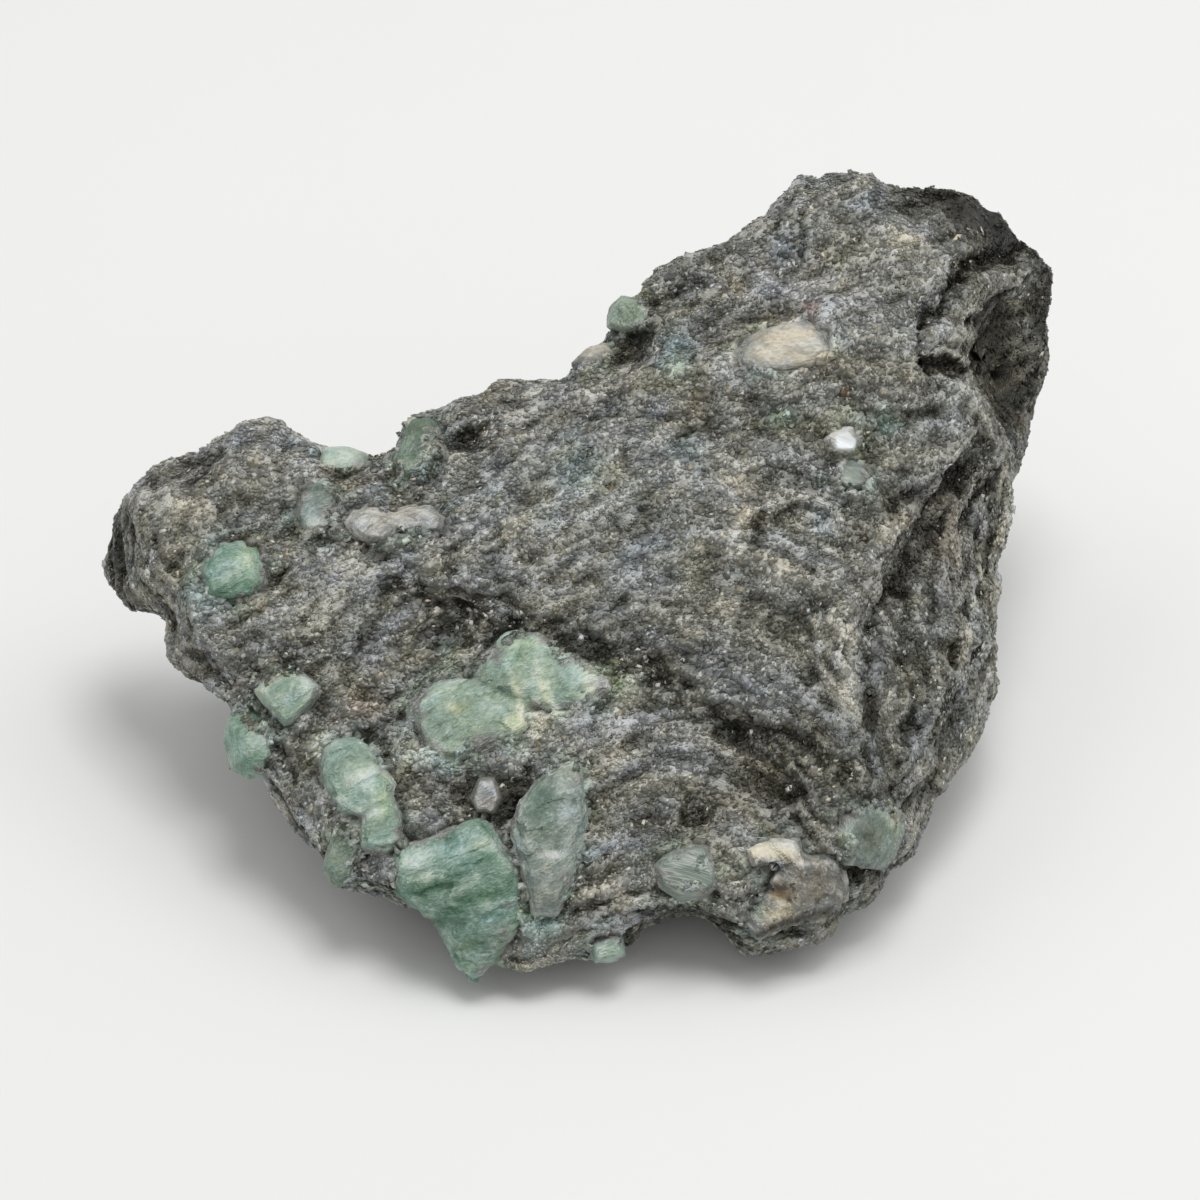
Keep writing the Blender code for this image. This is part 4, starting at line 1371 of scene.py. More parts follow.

# Where the rock is lighter or darker, raised or sunk. The tones are partly the rock's own and
# partly painted light and shade: painted shade in the cavity, cracks and undercuts, along the
# lower edges and the arm's underside, and on the shoulder and sides that turn from the light,
# and painted light on the lit top of the ledge. A zone is across, down, half-length,
# half-width, turn, tone and relief; a stroke is a path, half-width, tone and relief.
ROCK_TONE_SHADE_AND_RELIEF = marks(
    (622, 684, 22, 10, 0, 0.42), (535, 716, 20, 12, 0, 0.26), (577, 722, 26, 12, 0, 0.26),
    (457, 762, 18, 14, 0, 0.24), (555, 762, 40, 14, 0, 0.22), (537, 920, 20, 14, 0, 0.26),
    (310, 745, 20, 22, 0, 0.16), (242, 562, 22, 14, 0, -0.17), (345, 560, 16, 12, 0, 0.24),
    # Painted shade on the top-right shoulder and the right block, which turn from the light.
    (975, 222, 30, 16, 30, -0.24), (975, 290, 25, 12, -20, -0.22),
    (((1030, 240), (1052, 285), (1052, 345)), 13, -0.28),
    # Painted shade along the arm's underside and in the arch at the lower edge.
    (((128, 600), (150, 640), (185, 690), (230, 735), (262, 760)), 10, -0.2),
    (((620, 945), (680, 938), (725, 925)), 9, -0.3),
    (((400, 588), (450, 604), (530, 628), (600, 642), (655, 662), (700, 696),
     (735, 726)), 17, -0.13, -0.10), (((735, 722), (765, 752), (800, 800)), 18, -0.16, -0.20),
    (((985, 448), (950, 492), (915, 540), (895, 590), (870, 622)), 11, -0.26, -0.6),
    (((892, 500), (925, 496), (958, 478)), 14, -0.30, -0.5),
    (((842, 606), (846, 660), (852, 722)), 7, 0.18, 0.4),
    (((863, 610), (867, 665), (873, 730)), 6, -0.16, -0.3),
    # Painted shade in the cracks and the undercut round the ledge at the upper right, and painted
    # light on the ledge's top.
    (((1020, 247), (992, 256), (966, 262), (945, 292), (926, 322)), 7, -0.30, -0.9),
    (((922, 330), (921, 350), (926, 360)), 4, -0.30, -0.6),
    (((924, 362), (945, 364), (966, 368)), 5, -0.44, -1.1),
    (((930, 334), (955, 330), (976, 337)), 7, 0.24, 0.6),
    (((932, 348), (954, 345), (972, 350)), 2.5, -0.20, -0.2),
    (((977, 322), (979, 350), (985, 380)), 5, -0.36, -1.0),
    (((942, 374), (970, 398), (994, 426), (1003, 470)), 7, 0.18, 0.5),
    (((1006, 440), (1010, 500), (1002, 570), (996, 640)), 5, 0.18, 0.2),
    (((991, 470), (993, 530), (985, 600), (976, 660)), 4, -0.30, -0.15),
    (((968, 520), (970, 570), (962, 640), (950, 700)), 4, -0.20, -0.15),
    (((981, 500), (984, 560), (976, 630), (964, 700)), 4, 0.18, 0.15),
    (((931, 570), (933, 620), (923, 680), (906, 740)), 5, -0.16, -0.15),
    (((742, 556), (738, 528), (752, 508), (786, 498), (830, 494), (868, 498)), 6, 0.12, 0.25),
    (((760, 540), (766, 522), (792, 514), (826, 514)), 9, -0.18, -0.25),
    # Painted shade along the shoulder's top rim.
    (((930, 190), (965, 197), (995, 214), (1012, 240)), 17, -0.46, 0.0),
    (((452, 832), (470, 820), (500, 812), (530, 770)), 6, -0.20, -0.4),
    (((320, 700), (350, 724), (385, 745), (400, 770)), 6, -0.14, -0.3),
    # Painted shade along the lower edges.
    (((600, 905), (640, 915), (690, 912), (730, 925)), 10, -0.24, -0.4),
    (((855, 880), (900, 868), (925, 835), (940, 800)), 8, -0.16, -0.3),
    # Painted shade on the left face, which turns from the light.
    (((120, 500), (112, 540), (118, 590)), 8, -0.22, 0.0),
    (((150, 480), (185, 466), (215, 455)), 6, -0.20, -0.4), (450, 612, 46, 20, -10, -0.10),
    (500, 598, 16, 30, 20, -0.10), (240, 650, 40, 26, -20, -0.10), (292, 742, 16, 40, 10, -0.14),
    # Painted shade in the sunk cavity at the upper right.
    (795, 745, 44, 36, -40, -0.14, -0.5), (1010, 372, 25, 52, 0, -0.46, -1.1),
    # Painted shade on the shoulder and along the bottom.
    (978, 222, 34, 20, -30, -0.22), (690, 925, 60, 18, 8, -0.16),
    (462, 438, 24, 12, 0, -0.22, -0.3), (632, 348, 18, 18, 0, -0.24, -0.3),
    (912, 412, 20, 13, 0, -0.20, -0.5), (870, 748, 40, 18, -10, -0.16),
    (880, 796, 36, 12, 0, -0.22, -0.3), (520, 958, 60, 14, 12, -0.10),
    (492, 790, 34, 30, 0, -0.18, -0.5), (940, 530, 22, 36, -10, -0.12, -0.4),
    (255, 455, 34, 20, 10, 0.08), (168, 498, 22, 16, 20, 0.12), (342, 562, 20, 13, 0, 0.20),
    (330, 596, 34, 20, 20, 0.10), (860, 262, 50, 44, 20, 0.05), (842, 412, 16, 12, 0, 0.16),
    (737, 538, 10, 22, 0, 0.14), (790, 578, 50, 11, -20, 0.10), (1035, 282, 16, 30, 0, 0.06),
    (660, 750, 60, 40, 20, 0.03), (640, 880, 40, 26, 10, 0.05), (312, 830, 14, 18, 0, 0.10),
    (240, 520, 60, 11, -15, 0.08), (800, 345, 44, 26, 20, 0.10), (560, 740, 30, 16, 10, 0.10),
    (600, 780, 24, 30, 0, 0.04), (372, 690, 22, 12, -20, 0.10), (610, 690, 26, 14, 20, 0.08),
    (620, 560, 130, 60, 20, 0.09), (245, 455, 70, 36, 10, 0.10), (525, 490, 90, 70, 0, 0.09),
    (690, 790, 110, 40, 0, -0.07), (770, 340, 110, 80, 20, 0.03), (525, 900, 10, 46, -10, 0.14),
    # Painted shade on the shoulder and down the right side.
    (((908, 192), (950, 198), (985, 214), (1010, 240)), 22, -0.26),
    (((990, 325), (1004, 370), (1010, 420), (1008, 445)), 24, -0.22, -0.3),
    (((1040, 300), (1046, 360), (1036, 415)), 18, -0.16), (550, 890, 24, 30, 0, 0.05),
    # Painted shade on the left face and on the right side.
    (112, 550, 20, 60, 0, -0.14), (935, 560, 44, 90, -8, -0.15), (880, 700, 70, 60, 20, -0.06),
    (760, 640, 60, 30, 0, 0.03), (600, 655, 60, 20, -18, -0.08), (590, 643, 60, 14, -12, -0.08),
    (450, 655, 18, 10, -10, 0.12), (634, 724, 24, 8, 10, 0.14), (620, 762, 11, 13, 0, 0.14),
    (464, 668, 12, 9, 0, -0.20), (1006, 225, 16, 22, 30, -0.14),
    (((1040, 225), (1050, 270), (1050, 320)), 14, -0.22),
    (((950, 215), (975, 225), (990, 235)), 14, -0.20),
    (((975, 270), (960, 285), (950, 300)), 10, -0.20),
    # Painted shade on the left face.
    (((105, 500), (108, 540), (115, 570)), 10, -0.20), (((855, 620), (860, 680)), 9, 0.20),
    (822, 522, 16, 14, 0, 0.38), (738, 482, 30, 16, 0, 0.18), (695, 482, 18, 14, 0, 0.14),
    (578, 482, 26, 16, 0, 0.16), (817, 361, 20, 12, 0, 0.30), (900, 225, 26, 24, 0, 0.12),
    (812, 270, 26, 18, 0, 0.13), (875, 405, 18, 20, 0, -0.10), (728, 325, 22, 16, 0, -0.15),
    (662, 328, 18, 14, 0, -0.13), (832, 238, 24, 16, 0, -0.17), (702, 245, 20, 14, 0, -0.09),
    (298, 470, 24, 36, 0, 0.13), (345, 562, 26, 12, 0, 0.14), (180, 560, 18, 16, 0, 0.15),
    (212, 600, 20, 12, 0, 0.14), (318, 720, 20, 20, 0, 0.14), (430, 757, 34, 13, 0, 0.18),
    (535, 722, 22, 12, 0, 0.25), (615, 682, 26, 14, 0, 0.25), (655, 684, 18, 12, 0, 0.16),
    (635, 760, 34, 14, 0, 0.16), (655, 812, 30, 34, 0, -0.13), (612, 890, 30, 20, 0, 0.15),
    (540, 922, 16, 16, 0, 0.20), (735, 862, 14, 18, 0, 0.15), (938, 715, 22, 50, 15, -0.18),
    (930, 600, 18, 16, 0, 0.14), (868, 790, 24, 12, 0, -0.08), (745, 645, 70, 16, -10, -0.10),
    (738, 600, 18, 16, 0, 0.16), (640, 600, 18, 14, 0, -0.08), (540, 602, 26, 10, 0, -0.10),
    (860, 522, 16, 14, 0, -0.14), (455, 521, 22, 14, 0, -0.17), (425, 505, 26, 12, 0, -0.10),
    (825, 482, 28, 12, 0, -0.14), (846, 600, 34, 14, 0, -0.14), (905, 408, 18, 26, 0, -0.12),
    (210, 478, 20, 18, 0, -0.12), (495, 640, 20, 14, 0, -0.08), (620, 630, 30, 18, 0, -0.08),
    (750, 665, 16, 20, 0, -0.12), (940, 745, 20, 30, 0, -0.13), (862, 780, 18, 16, 0, -0.10),
    (806, 516, 26, 12, 0, 0.28), (750, 468, 16, 16, 0, 0.14), (340, 560, 22, 16, 0, 0.20),
    (324, 720, 20, 20, 0, 0.14), (370, 686, 18, 20, 0, 0.12), (400, 772, 16, 14, 0, 0.24),
    (437, 748, 14, 12, 0, 0.20), (500, 738, 12, 10, 0, 0.18), (642, 745, 26, 14, 0, 0.14),
    (702, 705, 16, 14, 0, 0.12), (848, 640, 14, 34, 0, 0.14), (829, 700, 12, 14, 0, 0.14),
    (737, 856, 12, 26, 0, 0.20), (542, 922, 16, 18, 0, 0.16), (625, 905, 26, 16, 0, 0.12),
    (570, 530, 60, 40, 0, 0.03), (1046, 285, 14, 40, 0, -0.16), (402, 775, 14, 14, 0, 0.20),
    (437, 752, 12, 10, 0, 0.20), (522, 772, 16, 14, 0, 0.16), (812, 518, 24, 12, 0, 0.15),
    (740, 482, 18, 16, 0, 0.10), (460, 424, 20, 10, 0, 0.18), (102, 530, 14, 30, 0, -0.15),
    (165, 502, 14, 14, 0, 0.20), (1012, 310, 10, 26, 0, 0.15), (1048, 310, 12, 36, 0, -0.18),
    (735, 361, 16, 12, 0, 0.15), (817, 361, 18, 12, 0, 0.14), (900, 402, 16, 12, 0, -0.12),
    (650, 412, 18, 14, 0, 0.15), (617, 402, 16, 12, 0, 0.10), (497, 480, 18, 20, 0, 0.14),
    (522, 450, 20, 14, 0, 0.12), (657, 441, 20, 12, 0, 0.10), (857, 442, 18, 10, 0, 0.12),
    (662, 561, 18, 14, 0, 0.10), (260, 612, 14, 16, 0, 0.18), (295, 565, 16, 18, 0, 0.12),
    (298, 604, 16, 14, 0, 0.12), (338, 645, 16, 14, 0, -0.10), (855, 680, 10, 16, 0, 0.12),
    (830, 702, 12, 12, 0, 0.12), (872, 785, 16, 12, 0, -0.12))

# Where the torn edges of the layers stand up in crests.
RIDGED = marks(
    (960, 590, 52, 150, -4, 1.0), (850, 650, 80, 90, 20, 0.7), (800, 790, 90, 50, 20, 0.4),
    (115, 550, 30, 80, 0, 0.7),
    (((372, 556), (450, 590), (560, 634), (660, 676), (730, 722), (793, 776)), 34, 0.55))

# Relief that reaches past the outline.
EDGE_MARKS = marks(
    (((1026, 480), (1022, 540), (1014, 600), (1006, 650)), 20, 0.0, -0.75),
    (((1048, 350), (1040, 400), (1036, 430)), 12, 0.0, -0.3),
    (((475, 392), (530, 378), (560, 374)), 13, 0.0, -0.6),
    (((812, 172), (850, 170)), 12, 0.0, -0.6),
    (((895, 185), (935, 185), (960, 192)), 10, 0.0, -0.5),
    (((975, 780), (950, 820), (905, 880)), 12, 0.0, -0.4),
    (((600, 955), (640, 945), (700, 935)), 12, 0.0, 0.5))

# Where the rock laps further over the crystals.
COVERED = marks(
    (585, 648, 24, 11, -35, 1.0), (470, 656, 18, 11, 20, 1.0), (556, 655, 6, 8, 0, 0.8),
    (590, 880, 10, 24, 0, 0.8))

# Where the rock is smooth, with fewer nicks and flakes.
SLEEK_MARKS = marks(
    (975, 215, 44, 22, -30, 1.0), (1010, 370, 26, 56, 0, 1.0), (115, 545, 14, 46, 0, 0.8),
    (162, 498, 22, 14, 20, 0.8), (136, 596, 14, 14, 0, 0.7), (950, 348, 24, 12, 0, 0.6),
    (925, 520, 30, 30, 20, 0.6), (800, 345, 40, 22, 0, 0.4))

# Where the rock is greener, warmer or bluer.
ROCK_TINTS = tints(
    (675, 355, 16, 22, (0.84, 1.00, 0.97)), (780, 417, 17, 13, (0.84, 1.02, 0.97)),
    (888, 420, 15, 13, (0.76, 1.02, 0.98)), (580, 466, 22, 26, (0.88, 1.00, 0.98)),
    (520, 500, 50, 50, (0.94, 0.99, 1.06)), (660, 540, 70, 50, (0.95, 0.99, 1.05)),
    (824, 524, 14, 13, (0.88, 0.98, 1.10)), (690, 450, 18, 11, (0.90, 1.01, 1.02)),
    (848, 392, 4, 3, (1.35, 0.90, 0.60)), (808, 306, 8, 5, (1.25, 0.86, 0.78)),
    (770, 330, 26, 16, (1.08, 1.00, 0.88)), (842, 412, 16, 13, (1.04, 1.02, 0.88)),
    (752, 520, 16, 12, (1.10, 1.00, 0.84)), (770, 780, 34, 26, (1.06, 0.98, 0.86)),
    (370, 700, 22, 14, (1.10, 0.97, 0.86)), (700, 560, 18, 30, (1.06, 1.00, 0.86)),
    (940, 530, 26, 40, (1.06, 0.95, 0.86)), (790, 300, 60, 30, (0.96, 0.98, 1.06)),
    (550, 892, 24, 28, (0.92, 1.03, 0.97)), (203, 592, 20, 20, (0.88, 1.02, 0.97)),
    (600, 690, 30, 22, (0.94, 1.02, 0.95)), (480, 700, 30, 14, (0.92, 1.02, 0.97)),
    (430, 757, 30, 12, (0.90, 1.02, 0.97)), (817, 361, 20, 12, (1.08, 1.00, 0.90)),
    (540, 735, 30, 16, (1.03, 1.02, 0.90)), (612, 682, 24, 14, (0.98, 1.02, 0.92)),
    (543, 922, 20, 22, (0.85, 1.04, 0.97)), (1010, 360, 30, 60, (1.04, 1.00, 0.90)))


@dataclass(frozen=True)
class SchistSkin:
    """The rock's visible skin: one closed, finely broken surface under every crystal.

    Heights and lengths are in millimetres.
    """

    cell: float = 0.41
    fill: float = 0.45
    edge_past: float = 0.75
    warp: Pattern = Pattern(1, size=5.0, strength=0.9)
    sway: Pattern = Pattern(2, size=9.0, strength=1.1)
    layer: float = 0.9
    terrace: float = 0.6
    terraced: Pattern = Pattern(3, size=4.5, strength=1.6)
    rib_run: float = 6.0
    rib_step: float = 3.37
    rib: Pattern = Pattern(4, strength=0.65)
    rib_inset: float = 0.15
    groove: float = 0.30
    broad: Pattern = Pattern(8, (5.0, 2.8, 2.8), layers=2, strength=0.26)
    lumps: Pattern = Pattern(19, size=2.6, layers=3, strength=0.24)
    threads: SplitPattern = SplitPattern(Pattern(5, (2.0, 0.9, 0.9), layers=2),
                                         Pattern(27, (3.0, 2.6, 0.9), layers=2))
    crests: Pattern = Pattern(6, (1.8, 1.0, 1.0))
    thread_height: float = 0.20
    nicks: Pattern = Pattern(7, (1.4, 0.8, 0.9))
    nick_depth: float = 0.42
    nick_share: float = 0.35
    sleek_calm: float = 0.6
    sunk: float = 0.08
    torn: SplitPattern = SplitPattern(Pattern(16, (4.0, 1.7, 2.6), layers=2),
                                      Pattern(25, (6.0, 5.0, 2.0), layers=2))
    finely_torn: SplitPattern = SplitPattern(Pattern(17, (3.0, 0.8, 1.2)),
                                             Pattern(26, (4.0, 3.5, 0.9)))
    torn_sharpness: float = 3.4
    fine_sharpness: float = 3.0
    torn_share: float = 0.75
    fine_share: float = 0.35
    ridge_height: float = 0.34
    rim: float = 0.50
    rim_wave: Pattern = Pattern(9, size=1.9, strength=1.3)
    rim_fret: Pattern = Pattern(10, size=0.8, strength=0.80)
    rim_tongues: Pattern = Pattern(18, size=3.0)
    tongue: float = 5.0
    tongue_share: float = 0.44
    ray_start: float = 0.6
    ray_length: float = 1.45
    tuck: float = 0.22
    reach: float = 2.2
    clear: float = 1.0
    hollow_depth: float = 0.16
    tone: float = 0.575
    patches: Pattern = Pattern(11, size=7.0, layers=2, strength=0.04)
    streaks: SplitPattern = SplitPattern(
        Pattern(12, (2.6, 1.7, 1.7), layers=3, strength=0.11),
        Pattern(28, (6.0, 5.0, 1.8), layers=4, strength=0.18))
    specks: Pattern = Pattern(20, (1.2, 0.8, 0.8), layers=2, strength=0.11)
    # Painted light on the crests of the torn layers and painted shade in the gaps between them.
    ridge_tone: float = 0.13
    # How strongly the marks' tones, partly painted light and shade, show on the rock.
    mark_tone: float = 0.85
    colour: Triple = (1.012, 1.0, 0.962)
    warm: Pattern = Pattern(13, (3.2, 1.8, 1.8), layers=4, strength=0.07)
    warm_colour: Triple = (1.0, 0.25, -1.5)
    cold: Pattern = Pattern(14, (5.0, 3.0, 3.0), layers=3, strength=0.022)
    cold_colour: Triple = (-1.0, 0.1, 1.1)
    dust: Pattern = Pattern(15, size=1.8, layers=3, strength=1.5)
    dust_reach: float = 3.0
    dust_strength: float = 0.7
    dust_colour: Triple = (0.84, 1.03, 0.94)

    def build(self, palette: Palette, crystals: CrystalSurface) -> bpy.types.Object:
        """Mesh, break and dress the skin.

        Args:
            palette: The materials.
            crystals: Where the finished crystals are.

        Returns:
            The skin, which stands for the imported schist.
        """
        rock = copy_solid("schist", "schist_skin")
        solid = surface_tree(rock)
        self.fill_and_mesh(rock)
        points = points_of(rock)
        normals = normals_of(rock)
        relief = marks_at(ROCK_TONE_SHADE_AND_RELIEF, points, normals)[1]
        relief += marks_at(EDGE_MARKS, points, normals, self.edge_past)[1]
        sleek = np.clip(marks_at(SLEEK_MARKS, points, normals)[0], 0.0, 1.0)
        set_values(rock, Kept.SLEEK, sleek)
        set_values(rock, Kept.RIDGE, self.ridges(points, normals))
        place_points(rock, points + relief[:, None] * normals)
        place_points(rock, self.broken(points_of(rock), normals_of(rock), sleek))
        lift = self.ridge_height * read_values(rock, Kept.RIDGE)
        place_points(rock, points_of(rock) + lift[:, None] * normals_of(rock))
        self.tuck_under(rock, crystals, solid)
        self.dress(rock, crystals)
        rock.data.materials.append(palette.rock)
        make_active(rock)
        bpy.ops.object.shade_smooth()
        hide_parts("schist")
        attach(rock, "root")
        return rock

    def fill_and_mesh(self, rock: bpy.types.Object) -> None:
        """Fill the crystals' pockets, and mesh the rock as one closed surface.

        Args:
            rock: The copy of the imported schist, which takes the fillings in.
        """
        fillers = []
        for node in frame["nodes"]:
            if node != "schist":
                filler = copy_solid(node, "filler")
                swell(filler, self.fill)
                fillers.append(filler)
        make_active(rock)
        for filler in fillers:
            filler.select_set(True)
        bpy.ops.object.join()
        apply_modifier(rock, "REMESH", mode="VOXEL", voxel_size=self.cell * MM)
        keep_main_body(rock)
        apply_modifier(rock, "SMOOTH", factor=0.5, iterations=4)

    def ridges(self, points: np.ndarray, normals: np.ndarray) -> np.ndarray:
        """Find the sharp crests along the torn edges of the layers.

        Args:
            points: Places in millimetres.
            normals: The way out at each place.

        Returns:
            A height for each place, from -1 in a gap to 1 on a crest.
        """
        share = np.clip(marks_at(RIDGED, points, normals)[0], 0.0, 1.0)
        grain = ROCK.grain(points)
        on_side = side_share(normals)
        broad = 1.0 - self.torn_sharpness * np.abs(self.torn.at(grain, on_side))
        fine = 1.0 - self.fine_sharpness * np.abs(self.finely_torn.at(grain, on_side))
        return share * np.clip(self.torn_share * broad + self.fine_share * fine, -1.0, 1.0)

    def broken(self, points: np.ndarray, normals: np.ndarray,
               sleek: np.ndarray) -> np.ndarray:
        """Roughen the surface: layers, ribs of the broken edges, grooves and grains.

        Args:
            points: Places in millimetres.
            normals: The way out at each place.
            sleek: How smooth the rock is there, from 0 to 1.

        Returns:
            The broken surface's places.
        """
        facing = normals @ SPLIT
        flat = ease((np.abs(facing) - 0.72) / 0.2)
        on_side = side_share(normals)
        calmed = 1.0 - self.sleek_calm * sleek
        shifted = points + self.warp.at(points)[:, None]
        step = (shifted @ SPLIT + self.sway.at(points)) / self.layer
        whole = np.floor(step)
        within = step - whole
        tread = whole + ease((within - 0.5) / 0.25 + 0.5)
        patchy = ease(0.4 + self.terraced.at(points))
        rise = self.terrace * ((tread - step) * self.layer) * flat * patchy
        moved = points + rise[:, None] * SPLIT
        grain = ROCK.grain(points)
        run = grain[:, :2] / self.rib_run
        reach = self.rib.at(np.column_stack((run, whole * self.rib_step)))
        notch = ease(np.minimum(within, 1.0 - within) / 0.22)
        sideways = unit(normals - facing[:, None] * SPLIT)
        rib = (reach - self.rib_inset) * notch - self.groove * (1.0 - notch)
        moved += (rib * on_side * calmed)[:, None] * sideways
        threads = self.threads.at(grain, on_side)
        crests = 0.5 - np.abs(self.crests.at(grain))
        nicks = np.minimum(0.0, self.nicks.at(grain) + self.nick_share)
        rough = self.broad.at(grain) + self.lumps.at(points)
        rough += (self.thread_height * threads + self.thread_height * crests) * calmed
        rough += self.nick_depth * nicks * (1.0 - sleek) - self.sunk
        return moved + rough[:, None] * normals

    def tuck_under(self, rock: bpy.types.Object, crystals: CrystalSurface,
                   solid: BVHTree) -> None:
        """Sink the skin under the crystals, with an uneven rim, and keep where it stays bare.

        Args:
            rock: The skin.
            crystals: Where the finished crystals are.
            solid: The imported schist's surface.
        """
        points = points_of(rock)
        normals = normals_of(rock)
        rim = self.rim + self.rim_wave.at(points) + self.rim_fret.at(points)
        tongues = np.maximum(0.0, self.rim_tongues.at(points) - self.tongue_share)
        rim += self.tongue * tongues
        rim += self.tongue * marks_at(COVERED, points, normals)[0]
        bare = np.ones(len(points))
        for index, (point, normal, edge) in enumerate(zip(points, normals, rim)):
            start = Vector(point + normal * self.ray_start)
            hit, out, face, _ = crystals.tree.ray_cast(start, Vector(-normal), self.ray_length)
            seat = edge
            if hit is None or out.dot(Vector(normal)) < 0.2:
                hit, out, face, _ = crystals.tree.find_nearest(Vector(point), self.reach)
                if hit is None or (Vector(point) - hit).dot(out) < 0.0:
                    continue
                seat = max(edge, self.clear / max(crystals.rim_at(face), 0.1))
            _, _, _, inset = solid.find_nearest(Vector(point), 4.0)
            if inset is not None and inset < seat * crystals.rim_at(face):
                continue
            points[index] = np.array(hit) - normal * self.tuck
            bare[index] = 0.0
        place_points(rock, points)
        set_values(rock, Kept.BARE, bare)

    def dress(self, rock: bpy.types.Object, crystals: CrystalSurface) -> None:
        """Keep the tone, hollow and tint of every point for the material and the flakes. The
        hollow sets painted shade, and the tone carries painted light and shade from the ridges
        and marks.

        Args:
            rock: The skin.
            crystals: Where the finished crystals are.
        """
        points = points_of(rock)
        normals = normals_of(rock)
        grain = ROCK.grain(points)
        # How hollow each point is, which sets the painted shade in the rock and the flakes.
        hollow = ((neighbour_mean(rock, points, 10) - points) * normals).sum(1)
        set_values(rock, Kept.HOLLOW, np.clip(hollow / self.hollow_depth, -0.6, 1.8))
        tone = self.tone + self.patches.at(points)
        tone += self.streaks.at(grain, side_share(normals)) + self.specks.at(grain)
        # Painted light on the crests and painted shade in the gaps between them.
        tone += self.ridge_tone * read_values(rock, Kept.RIDGE)
        # The marks' tones: partly the rock's own, partly painted shade and painted light.
        tone += self.mark_tone * marks_at(ROCK_TONE_SHADE_AND_RELIEF, points, normals)[0]
        set_values(rock, Kept.TONE, tone)
        tint = self.colour + self.warm.at(grain)[:, None] * self.warm_colour
        tint += self.cold.at(grain)[:, None] * self.cold_colour
        tint *= tint_at(ROCK_TINTS, points, normals)
        tint *= 1.0 + self.dusty(points, normals, crystals)[:, None] * np.subtract(
            self.dust_colour, 1.0)
        set_colours(rock, Kept.TINT, np.clip(tint, 0.5, 1.5))
        set_vectors(rock, Kept.GRAIN, grain)

    def dusty(self, points: np.ndarray, normals: np.ndarray,
              crystals: CrystalSurface) -> np.ndarray:
        """Find where green dust of the crystals lies on the rock.

        Args:
            points: Places in millimetres.
            normals: The way out at each place.
            crystals: Where the finished crystals are.

        Returns:
            How much dust there is at each place.
        """
        near = np.full(len(points), self.dust_reach)
        for index in np.flatnonzero(normals @ VIEW.toward > -0.2):
            distance = crystals.tree.find_nearest(Vector(points[index]), self.dust_reach)[3]
            near[index] = distance or self.dust_reach
        spread = ease(1.1 - near / 2.0) * ease(0.4 + self.dust.at(points))
        return self.dust_strength * spread


@dataclass(frozen=True)
class FlakeSpots:
    """Where flakes lie and how they look, one row or number for each flake."""

    place: np.ndarray
    facing: np.ndarray
    along: np.ndarray
    size: np.ndarray
    turn: np.ndarray
    tone: np.ndarray
    tint: np.ndarray
    kind: np.ndarray

    def share(self, part: slice) -> "FlakeSpots":
        """A part of the flakes."""
        return FlakeSpots(*(getattr(self, field.name)[part] for field in fields(self)))


